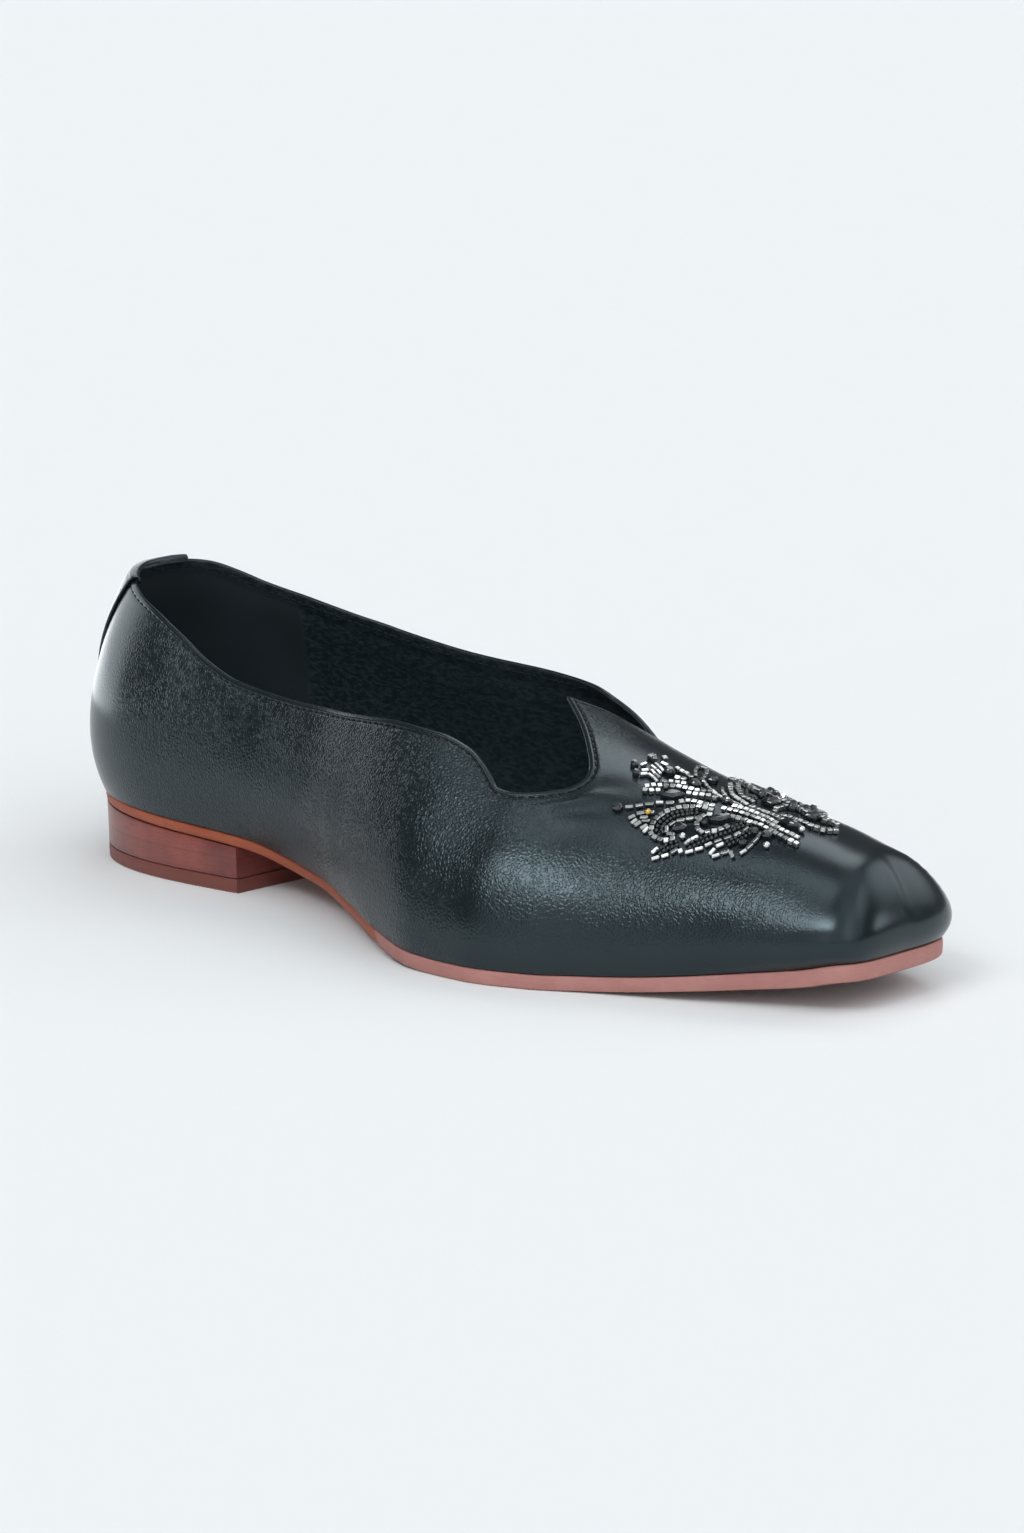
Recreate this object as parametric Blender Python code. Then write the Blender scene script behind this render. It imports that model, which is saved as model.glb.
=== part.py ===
# A right-foot leather slip-on shoe with a scalloped collar and a low stacked heel.
# x runs from the back of the heel to the toe, the lateral side lies at minus y and z is up.
# The tables are drawn in millimetres for a small pattern size and graded up by GRADE.
import bmesh
import bpy
import numpy as np
from mathutils import Matrix

# Driving sizes, in real millimetres unless the name says drawn
GRADE = 1.05
WALL = 2.2
GAP = 0.3
INSOLE_THICK = 2.0
TOP_PIECE_THICK = 4.0
HEEL_LENGTH = 70.0 * GRADE
SCARF_TOP = 139.0 * GRADE
SCARF_SLANT = 4.0
TAB_TOP = (33.0, 11.0)  # reach round the back to the lateral and the medial side
TAB_FOOT = (17.0, 8.0)
TAB_DROP = 34.0
TAB_THICK = 1.0
MOTIF_THICK = 2.0
MOTIF_CENTRE = (219.0 * GRADE, -2.5 * GRADE)
MOTIF_VALLEY = 0.8

# Rounded ends of the plan outline: centre, radius along x and roundness exponent
HEEL_X, HEEL_R, HEEL_N = 43.0 * GRADE, 42.5 * GRADE, 2.3
TOE_X, TOE_R = 254.0 * GRADE, 11.6 * GRADE
TOE_LATERAL_N, TOE_MEDIAL_N, TOE_SOFT_N = 5.0, 3.0, 3.5

# Sections of the last: place along the foot, offset of the ridge, half widths at the feather line,
# height of the ridge, fullness exponents of the two sides and bulge of the wall over the feather line
LAST_ROWS = [
    # x, axis, lateral, medial, spine, lateral_n, medial_n, bulge
    (0, 0.0, 32.3, 32.3, 100.0, 2.50, 2.50, 3.4),
    (20, 0.0, 32.3, 32.3, 99.0, 2.45, 2.45, 3.3),
    (43, 0.0, 32.3, 32.3, 98.0, 2.20, 2.20, 3.4),
    (66, 0.0, 30.6, 30.4, 95.0, 2.25, 2.30, 4.6),
    (82, 0.0, 28.1, 27.7, 92.0, 2.40, 2.50, 6.8),
    (100, 0.0, 30.0, 27.5, 87.0, 2.50, 2.80, 6.6),
    (120, 0.0, 37.7, 29.5, 80.0, 2.50, 3.00, 4.6),
    (140, 0.0, 47.1, 33.8, 71.5, 2.40, 2.80, 2.8),
    (160, 0.1, 53.4, 39.0, 61.6, 2.15, 2.55, 2.0),
    (175, 0.3, 53.1, 42.2, 56.5, 2.00, 1.70, 1.7),
    (190, 0.8, 49.0, 42.7, 51.5, 2.00, 1.62, 1.7),
    (205, 1.5, 41.6, 40.4, 46.7, 2.05, 1.72, 1.7),
    (225, 2.8, 33.8, 33.9, 42.4, 2.25, 1.90, 1.8),
    (240, 3.8, 28.0, 28.0, 39.8, 2.43, 2.01, 2.8),
    (254, 4.8, 23.1, 22.6, 36.0, 2.55, 2.15, 3.6),
    (270, 5.9, 18.9, 17.6, 32.3, 2.60, 2.60, 1.5),
]

# Height of the feather line: heel seat, waist, flat tread and toe spring
SEAT_ROWS = [
    # x, seat
    (0, 19.8), (43, 17.6), (70, 16.0), (85, 13.2), (100, 10.7), (115, 8.7), (130, 6.9), (145, 5.4),
    (158, 4.45), (168, 4.0), (192, 4.0), (202, 4.3), (212, 4.9), (226, 6.5), (239, 8.4), (252, 10.5),
    (262, 12.8), (271, 13.5),
]

# Thickness of the sole, the same for the waist strip and the forefoot at the scarf
SOLE_ROWS = [
    # x, thickness
    (0, 3.1), (70, 3.05), (100, 3.0), (125, 3.4), (139, 3.72), (215, 3.72), (240, 4.1), (258, 4.4), (270, 4.4),
]

# Collar from the back seam to the cusp at the side: place along the foot and height of the rim
LATERAL_RIM = [
    # x, height
    (0.5, 80.2), (7, 79.4), (15, 77.8), (30, 73.6), (48, 66.7), (60, 61.0), (72, 57.2), (85, 55.4),
    (97, 54.8), (110, 54.9), (123, 55.7), (134.5, 56.4), (149, 55.3), (158, 52.6), (164, 49.3),
    (170.4, 44.8),
]
MEDIAL_RIM = [
    # x, height
    (0.5, 80.2), (5.6, 79.0), (12.7, 76.4), (21, 73.6), (35, 70.3), (50, 67.8), (60, 66.5), (75.5, 65.0),
    (98, 62.5), (115, 61.4), (130, 60.9), (142, 60.2), (151, 59.5), (157, 57.7), (161.5, 54.8), (165, 51.4),
    (169.5, 46.2),
]

# Throat from the cusp round the scallop to the centre peak, in plan
LATERAL_THROAT = [
    # x, y
    (170.4, None), (174, -34.2), (178, -32.5), (183, -28.7), (185.9, -25.3), (186.7, -22.3), (186.0, -19.7),
    (184.0, -17.2), (180.8, -14.3), (174.3, -9.0), (168, -4.6), (160.8, 0.0),
]
MEDIAL_THROAT = [
    # x, y
    (169.5, None), (172.5, 26.3), (176, 26.0), (179.5, 25.2), (182, 23.7), (183, 21.7), (182.6, 19.2),
    (180.6, 15.2), (174.6, 9.4), (168, 4.7), (160.8, 0.0),
]

# Tips of the motif's sprays, in plan, going round its middle
MOTIF_TIPS = [
    # x, y
    (242.5, -5.5), (243.5, 6.0), (235.5, 12.5), (226, 16.5), (215, 18.5), (206, 15.5), (199, 10.5),
    (196.5, 3.5), (194.5, -3.5), (191, -10.0), (198.5, -17.5), (198.5, -24.2), (205.5, -26.6), (213, -25.0),
    (221.5, -22.6), (229, -19.4), (236.5, -12.0),
]

# Mesh density
QUARTER_COLUMNS = 34
THROAT_COLUMNS = 28
WALL_ROWS = 13
SLAB_STATIONS = 40


def steady(xs, ys):
    # smooth curve through the rows that never overshoots them, straight beyond both ends
    xs = np.asarray(xs, float)
    ys = np.asarray(ys, float)
    step = np.diff(xs)
    slope = np.diff(ys) / step
    lean = np.zeros_like(ys)
    for i in range(1, len(xs) - 1):
        if slope[i - 1] * slope[i] > 0.0:
            before = 2.0 * step[i] + step[i - 1]
            after = step[i] + 2.0 * step[i - 1]
            lean[i] = (before + after) / (before / slope[i - 1] + after / slope[i])
    lean[0] = slope[0]
    lean[-1] = slope[-1]

    def curve(x):
        x = np.asarray(x, float)
        k = np.clip(np.searchsorted(xs, x, side="right") - 1, 0, len(xs) - 2)
        t = np.clip((x - xs[k]) / step[k], 0.0, 1.0)
        value = ys[k] * (1.0 + 2.0 * t) * (1.0 - t) ** 2 + lean[k] * step[k] * t * (1.0 - t) ** 2
        value = value + ys[k + 1] * t * t * (3.0 - 2.0 * t) + lean[k + 1] * step[k] * t * t * (t - 1.0)
        value = np.where(x < xs[0], ys[0] + lean[0] * (x - xs[0]), value)
        return np.where(x > xs[-1], ys[-1] + lean[-1] * (x - xs[-1]), value)

    return curve


def column(rows, index, scale=GRADE):
    table = np.array(rows, float)
    return steady(table[:, 0] * GRADE, table[:, index] * scale)


axis = column(LAST_ROWS, 1)
lateral_half = column(LAST_ROWS, 2)
medial_half = column(LAST_ROWS, 3)
spine = column(LAST_ROWS, 4)
lateral_n = column(LAST_ROWS, 5, 1.0)
medial_n = column(LAST_ROWS, 6, 1.0)
bulge = column(LAST_ROWS, 7)
seat = column(SEAT_ROWS, 1)
sole_thick = column(SOLE_ROWS, 1)


def half_width(x, side):
    return np.where(side < 0, lateral_half(x), medial_half(x))


def fullness(x, side):
    return np.where(side < 0, lateral_n(x), medial_n(x))


def toe_roundness(side):
    return np.where(side < 0, TOE_LATERAL_N, TOE_MEDIAL_N)


def section(q, n, swell):
    # a superellipse quarter: reach from the ridge and height, for the share q from ridge to feather
    turn = (1.0 - np.clip(q, 0.0, 1.0)) * np.pi / 2.0
    across, up = np.cos(turn), np.sin(turn)
    size = (np.abs(across) ** n + np.abs(up) ** n) ** (1.0 / n)
    reach, height = across / size, up / size
    return reach + swell * 9.48 * height * (1.0 - height) ** 3, height


def last_point(x, y):
    # point of the last over a place of the flat sole: its edge maps to the feather line, its middle to the ridge
    x = np.asarray(x, float)
    y = np.asarray(y, float)
    side = np.where(y < axis(x), -1.0, 1.0)
    half = half_width(x, side)
    in_heel, in_toe = x < HEEL_X, x > TOE_X
    along = np.where(in_heel, (HEEL_X - x) / HEEL_R, np.where(in_toe, (x - TOE_X) / TOE_R, 0.0))
    power = np.where(in_heel, HEEL_N, toe_roundness(side))
    over = np.abs(y - axis(x)) / half
    q = (along ** power + over ** power) ** (1.0 / power)
    power = np.where(in_heel, HEEL_N, TOE_SOFT_N)
    soft = (along ** power + over ** power) ** (1.0 / power)
    q = q * q + (1.0 - np.minimum(q, 1.0)) * soft  # the toe's corners grow softer above the feather line
    reach, height = section(q, fullness(x, side), bulge(x) / half)
    grow = np.where(q < 1e-6, np.pi / 2.0, reach / np.maximum(q, 1e-6))
    along, over = along * grow, over * grow
    px = np.where(in_heel, HEEL_X - HEEL_R * along, np.where(in_toe, TOE_X + TOE_R * along, x))
    py = axis(px) + side * half_width(px, side) * over
    pz = seat(px) + (spine(px) - seat(px)) * height
    return np.stack([px, py, pz], -1)


def last_normal(x, y):
    d = 0.05
    dx = last_point(x + d, y) - last_point(x - d, y)
    dy = last_point(x, y + d) - last_point(x, y - d)
    n = np.cross(dx, dy)
    return n / np.linalg.norm(n, axis=-1, keepdims=True)


HEEL_RUN = HEEL_R * 1.35
MID_RUN = TOE_X - HEEL_X
TOE_RUN = TOE_R * 2.4
WHOLE_RUN = HEEL_RUN + MID_RUN + TOE_RUN


def round_end(share, power):
    turn = np.clip(share, 0.0, 1.0) * np.pi / 2.0
    size = (np.cos(turn) ** power + np.sin(turn) ** power) ** (1.0 / power)
    return np.cos(turn) / size, np.sin(turn) / size


def outline(side, u):
    # feather line in plan, u from 0 at the heel's back to 1 at the tip of the toe
    run = np.asarray(u, float) * WHOLE_RUN
    back, out = round_end(run / HEEL_RUN, HEEL_N)
    out_toe, front = round_end((run - HEEL_RUN - MID_RUN) / TOE_RUN, toe_roundness(side))
    in_heel, in_toe = run < HEEL_RUN, run > HEEL_RUN + MID_RUN
    x = np.where(in_heel, HEEL_X - HEEL_R * back, np.where(in_toe, TOE_X + TOE_R * front, HEEL_X + run - HEEL_RUN))
    over = np.where(in_heel, out, np.where(in_toe, out_toe, 1.0))
    return x, axis(x) + side * half_width(x, side) * over


def run_at(x):
    return (HEEL_RUN + x - HEEL_X) / WHOLE_RUN


def offset_outline(side, u, outset):
    d = 1e-4
    x, y = outline(side, u)
    x0, y0 = outline(side, np.clip(u - d, 0.0, 1.0))
    x1, y1 = outline(side, np.clip(u + d, 0.0, 1.0))
    tx, ty = x1 - x0, y1 - y0
    size = np.hypot(tx, ty)
    nx, ny = -side * ty / size, side * tx / size
    ny = np.where((u <= 0.0) | (u >= 1.0), 0.0, ny)
    return x + nx * outset, y + ny * outset


def along_rib(side, x, q):
    # place of the flat sole at share q of the rib whose foot on the feather line lies at x
    x = np.asarray(x, float)
    back = np.clip((HEEL_X - x) / HEEL_R, 0.0, 1.0)
    over = (1.0 - back ** HEEL_N) ** (1.0 / HEEL_N)
    px = np.where(x < HEEL_X, HEEL_X - HEEL_R * back * q, x)
    return px, axis(px) + side * half_width(px, side) * over * q


def share_at_height(side, x, z):
    n = fullness(x, side)
    height = np.clip((z - seat(x)) / (spine(x) - seat(x)), 0.0, 1.0)
    reach = (1.0 - height ** n) ** (1.0 / n)
    return 1.0 - np.arctan2(height, reach) * 2.0 / np.pi


def share_at_reach(side, x, y):
    n = fullness(x, side)
    reach = np.clip(np.abs(y - axis(x)) / half_width(x, side), 0.0, 1.0)
    height = (1.0 - reach ** n) ** (1.0 / n)
    return 1.0 - np.arctan2(height, reach) * 2.0 / np.pi


def throat_curve(side, rows, rim):
    # places of the flat sole under the throat's edge, evenly spaced from the cusp to the peak
    cusp_x = rows[0][0] * GRADE
    places = []
    for x, y in rows:
        if y is None:
            q = share_at_height(side, np.float64(cusp_x), rim(cusp_x))
        else:
            q = share_at_reach(side, np.float64(x * GRADE), np.float64(y * GRADE))
        places.append((x * GRADE, axis(x * GRADE) + side * half_width(x * GRADE, side) * q))
    places = np.array(places, float)
    run = np.concatenate([[0.0], np.cumsum(np.hypot(*np.diff(places, axis=0).T))])
    fx, fy = steady(run, places[:, 0]), steady(run, places[:, 1])
    fine = np.linspace(0.0, run[-1], 400)
    edge = last_point(fx(fine), fy(fine))
    length = np.concatenate([[0.0], np.cumsum(np.linalg.norm(np.diff(edge, axis=0), axis=1))])
    want = np.interp(np.linspace(0.0, length[-1], THROAT_COLUMNS + 1), length, fine)
    return np.stack([fx(want), fy(want)], -1)


def upper_places():
    # rows of flat-sole places from the feather line to the collar, one list for each column round the shoe
    columns = {}
    for side, rim_rows, throat_rows in ((-1.0, LATERAL_RIM, LATERAL_THROAT), (1.0, MEDIAL_RIM, MEDIAL_THROAT)):
        rim = column(rim_rows, 1)
        cusp_u = run_at(throat_rows[0][0] * GRADE)
        u = np.linspace(0.0, cusp_u, QUARTER_COLUMNS + 1)
        fx, fy = outline(side, u)
        kx, ky = along_rib(side, fx, share_at_height(side, fx, rim(fx)))
        feet = list(zip(fx, fy))
        tops = list(zip(kx, ky))
        throat = throat_curve(side, throat_rows, rim)
        fx, fy = outline(side, np.linspace(cusp_u, 1.0, THROAT_COLUMNS + 1))
        feet += list(zip(fx, fy))[1:]
        tops += [tuple(place) for place in throat][1:]
        columns[side] = (feet, tops)
    feet = columns[-1.0][0] + columns[1.0][0][-2:0:-1]
    tops = columns[-1.0][1] + columns[1.0][1][-2:0:-1]
    climb = (np.arange(WALL_ROWS + 1) / WALL_ROWS) ** 1.35
    fine = np.linspace(0.0, 1.0, 121)
    grid = []
    for foot, top in zip(np.array(feet), np.array(tops)):
        path = foot + (top - foot) * fine[:, None]
        skin = last_point(path[:, 0], path[:, 1])
        length = np.concatenate([[0.0], np.cumsum(np.linalg.norm(np.diff(skin, axis=0), axis=1))])
        share = np.interp(climb * length[-1], length, fine)
        grid.append(foot + (top - foot) * share[:, None])
    return np.array(grid)


def new_object(name, mesh_bm, collection, colour, rough):
    bmesh.ops.remove_doubles(mesh_bm, verts=mesh_bm.verts, dist=1e-6)
    bmesh.ops.recalc_face_normals(mesh_bm, faces=mesh_bm.faces)
    mesh = bpy.data.meshes.new(name)
    mesh_bm.to_mesh(mesh)
    mesh_bm.free()
    thing = bpy.data.objects.new(name, mesh)
    collection.objects.link(thing)
    material = bpy.data.materials.new(name + "_finish")
    material.use_nodes = True
    shader = material.node_tree.nodes["Principled BSDF"]
    shader.inputs["Base Color"].default_value = (*colour, 1.0)
    shader.inputs["Roughness"].default_value = rough
    mesh.materials.append(material)
    return thing


def add_points(mesh_bm, points):
    return [mesh_bm.verts.new(tuple(p * 0.001)) for p in np.asarray(points, float)]


def shell(outer, inner, closed):
    # solid between two matching grids of points, open or closed round its columns
    mesh_bm = bmesh.new()
    skins = [[add_points(mesh_bm, line) for line in grid] for grid in (outer, inner)]
    count, rows = len(outer), len(outer[0])
    for c in range(count if closed else count - 1):
        d = (c + 1) % count
        for r in range(rows - 1):
            a, b = skins[0][c], skins[0][d]
            mesh_bm.faces.new((a[r], b[r], b[r + 1], a[r + 1]))
            a, b = skins[1][c], skins[1][d]
            mesh_bm.faces.new((a[r], a[r + 1], b[r + 1], b[r]))
        for r in (0, rows - 1):
            mesh_bm.faces.new((skins[0][c][r], skins[0][d][r], skins[1][d][r], skins[1][c][r]))
    if not closed:
        for c in (0, count - 1):
            a, b = skins[0][c], skins[1][c]
            for r in range(rows - 1):
                mesh_bm.faces.new((a[r], a[r + 1], b[r + 1], b[r]))
    return mesh_bm


def slab(ends, levels, top, bottom, stations):
    # solid on the plan outline between two runs, with a row of outsets from its bottom to its top
    mesh_bm = bmesh.new()
    share = np.arange(stations + 1) / stations
    rings = []
    for level, outset in levels:
        start, stop = ends(level)
        spread = share
        if start <= 0.0:
            spread = share ** 1.15
        u = start + (stop - start) * spread
        ring = []
        for side in (-1.0, 1.0):
            x, y = offset_outline(side, u, outset)
            z = bottom(x) + (top(x) - bottom(x)) * level
            ring.append(np.stack([x, y, z], -1))
        left = add_points(mesh_bm, ring[0])
        right = add_points(mesh_bm, ring[1])
        if start <= 0.0:
            mesh_bm.verts.remove(right[0])
            right[0] = left[0]
        if stop >= 1.0:
            mesh_bm.verts.remove(right[-1])
            right[-1] = left[-1]
        rings.append((left, right))
    for low, high in zip(rings, rings[1:]):
        for a, b in zip(low, high):
            for k in range(stations):
                mesh_bm.faces.new((a[k], a[k + 1], b[k + 1], b[k]))
        for k in (0, stations):
            if low[0][k] is not low[1][k]:
                mesh_bm.faces.new((low[0][k], low[1][k], high[1][k], high[0][k]))
    for left, right in (rings[0], rings[-1]):
        for k in range(stations):
            corners = [left[k], left[k + 1], right[k + 1], right[k]]
            mesh_bm.faces.new(list(dict.fromkeys(corners)))
    return mesh_bm


def flat(z):
    return lambda x: np.full_like(np.asarray(x, float), z)


def sole_top(x):
    return seat(x) - GAP


def sole_bottom(x):
    return np.maximum(seat(x) - GAP - sole_thick(x), 0.0)


def build_upper(collection):
    places = upper_places()
    outer = last_point(places[..., 0], places[..., 1])
    inner = outer - WALL * last_normal(places[..., 0], places[..., 1])
    inner[:, 0, 2] = seat(inner[:, 0, 0])
    return new_object("upper", shell(outer, inner, True), collection, (0.012, 0.014, 0.016), 0.42)


def build_insole(collection):
    levels = [(0.0, -WALL - 0.5), (1.0, -WALL - 0.5)]
    piece = slab(lambda level: (0.0, 1.0), levels, lambda x: seat(x) + INSOLE_THICK, seat, SLAB_STATIONS + 8)
    return new_object("insole", piece, collection, (0.02, 0.02, 0.022), 0.7)


def build_soles(collection):
    levels = [(0.0, -0.5), (0.2, 0.0), (0.85, 0.1), (1.0, -0.2)]
    slant = SCARF_SLANT

    def waist_ends(level):
        return 0.0, run_at(SCARF_TOP + slant * (1.0 - level))

    def fore_ends(level):
        return run_at(SCARF_TOP + GAP + slant * (1.0 - level)), 1.0

    waist_levels = [(level, outset - 0.6) for level, outset in levels]
    waist = slab(waist_ends, waist_levels, sole_top, sole_bottom, SLAB_STATIONS)
    new_object("sole_waist", waist, collection, (0.42, 0.13, 0.045), 0.5)
    fore = slab(fore_ends, levels, sole_top, sole_bottom, SLAB_STATIONS)
    new_object("sole_forefoot", fore, collection, (0.46, 0.22, 0.19), 0.6)


def build_heel(collection):
    end = run_at(HEEL_LENGTH)

    def ends(level):
        return 0.0, end

    def block_top(x):
        return sole_bottom(x) - GAP

    block = slab(ends, [(0.0, -1.1), (1.0, -0.8)], block_top, flat(TOP_PIECE_THICK + GAP), 22)
    new_object("heel_block", block, collection, (0.13, 0.035, 0.022), 0.4)
    levels = [(0.0, -1.5), (0.15, -1.1), (1.0, -1.1)]
    lift = slab(ends, levels, flat(TOP_PIECE_THICK), flat(0.0), 22)
    new_object("heel_top_piece", lift, collection, (0.15, 0.03, 0.022), 0.35)


def build_tab(collection):
    # a strip down the back seam that hooks over the collar
    rim = column(LATERAL_RIM, 1)
    inner, outer = [], []
    for part in np.linspace(-1.0, 1.0, 21):
        lower, upper = [], []
        side = -1.0 if part < 0.0 else 1.0
        top, foot = (TAB_TOP[0], TAB_FOOT[0]) if part < 0.0 else (TAB_TOP[1], TAB_FOOT[1])
        for drop in np.linspace(1.0, 0.0, 9):
            half = top + (foot - top) * drop
            fx, fy = outline(side, abs(part) * half / WHOLE_RUN)
            z = rim(fx) - TAB_DROP * drop
            x, y = along_rib(side, fx, share_at_height(side, fx, z))
            p, n = last_point(x, y), last_normal(x, y)
            lower.append(p + n * GAP)
            upper.append(p + n * (GAP + TAB_THICK))
        crest = np.array([0.0, 0.0, 1.0])
        for turn, depth in ((0.25, 0.0), (0.75, 1.0)):
            across = n * (GAP - (WALL + 2.0 * GAP) * turn * (1.0 if depth else 0.2))
            lower.append(p + across + crest * GAP)
            wide = n * ((GAP + TAB_THICK) * 0.55 - (WALL + GAP) * 0.92 * depth)
            upper.append(p + wide + crest * (GAP + TAB_THICK))
        inner.append(lower)
        outer.append(upper)
    tab = shell(np.array(outer), np.array(inner), False)
    return new_object("back_tab", tab, collection, (0.015, 0.017, 0.02), 0.4)


def build_motif(collection):
    # a lobed plate on the vamp, its lobes reaching to the tips of the bead sprays
    cx, cy = MOTIF_CENTRE
    tips = np.array(MOTIF_TIPS, float) * GRADE - np.array([cx, cy])
    bearing = np.unwrap(np.arctan2(tips[:, 1], tips[:, 0]))
    reach = np.hypot(tips[:, 0], tips[:, 1])
    spokes = []
    for k in range(len(tips)):
        m = (k + 1) % len(tips)
        gap = (bearing[m] - bearing[k]) % (2.0 * np.pi)
        low = MOTIF_VALLEY * min(reach[k], reach[m])
        for part in (0.0, 0.25, 0.5, 0.75):
            ease = 0.5 - 0.5 * np.cos(2.0 * np.pi * part)
            far = reach[k] + (reach[m] - reach[k]) * part
            spokes.append((bearing[k] + gap * part, far + (low - far) * ease))
    outer, inner = [], []
    for angle, far in spokes:
        ring = np.array([0.0, 0.3, 0.6, 0.82, 1.0]) * far
        x = cx + np.cos(angle) * ring
        y = cy + np.sin(angle) * ring
        side = np.where(y < axis(x), -1.0, 1.0)
        place = axis(x) + side * half_width(x, side) * share_at_reach(side, x, y)
        p, n = last_point(x, place), last_normal(x, place)
        thick = GAP + MOTIF_THICK * np.array([1.0, 1.0, 0.95, 0.8, 0.45])
        inner.append(p + n * GAP)
        outer.append(p + n * thick[:, None])
    mesh_bm = bmesh.new()
    skins = [[add_points(mesh_bm, line) for line in grid] for grid in (outer, inner)]
    count = len(spokes)
    for c in range(count):
        d = (c + 1) % count
        for skin in skins:
            mesh_bm.faces.new((skin[c][0], skin[d][1], skin[c][1]))
            for r in range(1, 4):
                mesh_bm.faces.new((skin[c][r], skin[d][r], skin[d][r + 1], skin[c][r + 1]))
        mesh_bm.faces.new((skins[0][c][4], skins[0][d][4], skins[1][d][4], skins[1][c][4]))
    return new_object("bead_motif", mesh_bm, collection, (0.55, 0.55, 0.56), 0.25)


def main():
    for thing in list(bpy.data.objects):
        bpy.data.objects.remove(thing, do_unlink=True)
    collection = bpy.data.collections.new("leather_slip_on")
    bpy.context.scene.collection.children.link(collection)
    build_upper(collection)
    build_insole(collection)
    build_soles(collection)
    build_heel(collection)
    build_tab(collection)
    build_motif(collection)
    points = np.array([v.co[:] for thing in collection.objects for v in thing.data.vertices])
    low, high = points.min(axis=0), points.max(axis=0)
    shift = (-(low[0] + high[0]) / 2.0, -(low[1] + high[1]) / 2.0, -low[2])
    for thing in collection.objects:
        thing.data.transform(Matrix.Translation(shift))
    print("shift", [round(s * 1000.0, 4) for s in shift], "size", [round(s * 1000.0, 2) for s in high - low])
    for thing in collection.objects:
        print(thing.name, sum(len(p.vertices) - 2 for p in thing.data.polygons), "triangles")


main()
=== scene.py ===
# Looks of a right-foot leather slip-on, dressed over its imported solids.
# Lengths are millimetres on the maker's pattern; toRow() carries them into the row's metres.
import math

import bmesh
import bpy
import numpy as np
from mathutils import Matrix, Vector, noise


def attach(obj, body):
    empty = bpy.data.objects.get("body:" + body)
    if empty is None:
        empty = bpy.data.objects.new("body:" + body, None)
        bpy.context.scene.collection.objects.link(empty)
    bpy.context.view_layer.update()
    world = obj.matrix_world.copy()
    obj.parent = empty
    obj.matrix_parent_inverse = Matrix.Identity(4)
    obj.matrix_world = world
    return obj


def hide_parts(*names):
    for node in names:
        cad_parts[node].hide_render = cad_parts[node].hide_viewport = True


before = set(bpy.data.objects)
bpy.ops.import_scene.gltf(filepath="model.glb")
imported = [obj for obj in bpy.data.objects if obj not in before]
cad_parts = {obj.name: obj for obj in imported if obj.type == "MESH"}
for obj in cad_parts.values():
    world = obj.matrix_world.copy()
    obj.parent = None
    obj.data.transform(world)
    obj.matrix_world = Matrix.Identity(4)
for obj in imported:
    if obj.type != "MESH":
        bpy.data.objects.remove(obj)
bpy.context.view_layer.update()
print("frame loaded:", ", ".join(sorted(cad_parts)))

# The last, as in the part's own tables: a drawn size, graded up
last = {
    "grade": 1.05, "shift": (-138.2892, 5.5445, 0.0), "wall": 2.2, "gap": 0.3,
    "heelX": 43.0, "heelR": 42.5, "heelN": 2.3, "heelStretch": 1.35,
    "toeX": 254.0, "toeR": 11.6, "toeN": (5.0, 3.0), "toeSoftN": 3.5, "toeStretch": 2.4,
    "bulgeTop": 9.48,  # makes the bulge term one at its fullest
    "sections": [  # x, ridge offset, lateral half, medial half, ridge height, lateral n, medial n, bulge
        (0, 0.0, 32.3, 32.3, 100.0, 2.50, 2.50, 3.4),
        (20, 0.0, 32.3, 32.3, 99.0, 2.45, 2.45, 3.3),
        (43, 0.0, 32.3, 32.3, 98.0, 2.20, 2.20, 3.4),
        (66, 0.0, 30.6, 30.4, 95.0, 2.25, 2.30, 4.6),
        (82, 0.0, 28.1, 27.7, 92.0, 2.40, 2.50, 6.8),
        (100, 0.0, 30.0, 27.5, 87.0, 2.50, 2.80, 6.6),
        (120, 0.0, 37.7, 29.5, 80.0, 2.50, 3.00, 4.6),
        (140, 0.0, 47.1, 33.8, 71.5, 2.40, 2.80, 2.8),
        (160, 0.1, 53.4, 39.0, 61.6, 2.15, 2.55, 2.0),
        (175, 0.3, 53.1, 42.2, 56.5, 2.00, 1.70, 1.7),
        (190, 0.8, 49.0, 42.7, 51.5, 2.00, 1.62, 1.7),
        (205, 1.5, 41.6, 40.4, 46.7, 2.05, 1.72, 1.7),
        (225, 2.8, 33.8, 33.9, 42.4, 2.25, 1.90, 1.8),
        (240, 3.8, 28.0, 28.0, 39.8, 2.43, 2.01, 2.8),
        (254, 4.8, 23.1, 22.6, 36.0, 2.55, 2.15, 3.6),
        (270, 5.9, 18.9, 17.6, 32.3, 2.60, 2.60, 1.5),
    ],
    "seat": [  # x, height of the feather line
        (0, 19.8), (43, 17.6), (70, 16.0), (85, 13.2), (100, 10.7), (115, 8.7), (130, 6.9), (145, 5.4),
        (158, 4.45), (168, 4.0), (192, 4.0), (202, 4.3), (212, 4.9), (226, 6.5), (239, 8.4), (252, 10.5),
        (262, 12.8), (271, 13.5),
    ],
    "sole": [  # x, thickness
        (0, 3.1), (70, 3.05), (100, 3.0), (125, 3.4), (139, 3.72),
        (215, 3.72), (240, 4.1), (258, 4.4), (270, 4.4),
    ],
}
grade = last["grade"]


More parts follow.
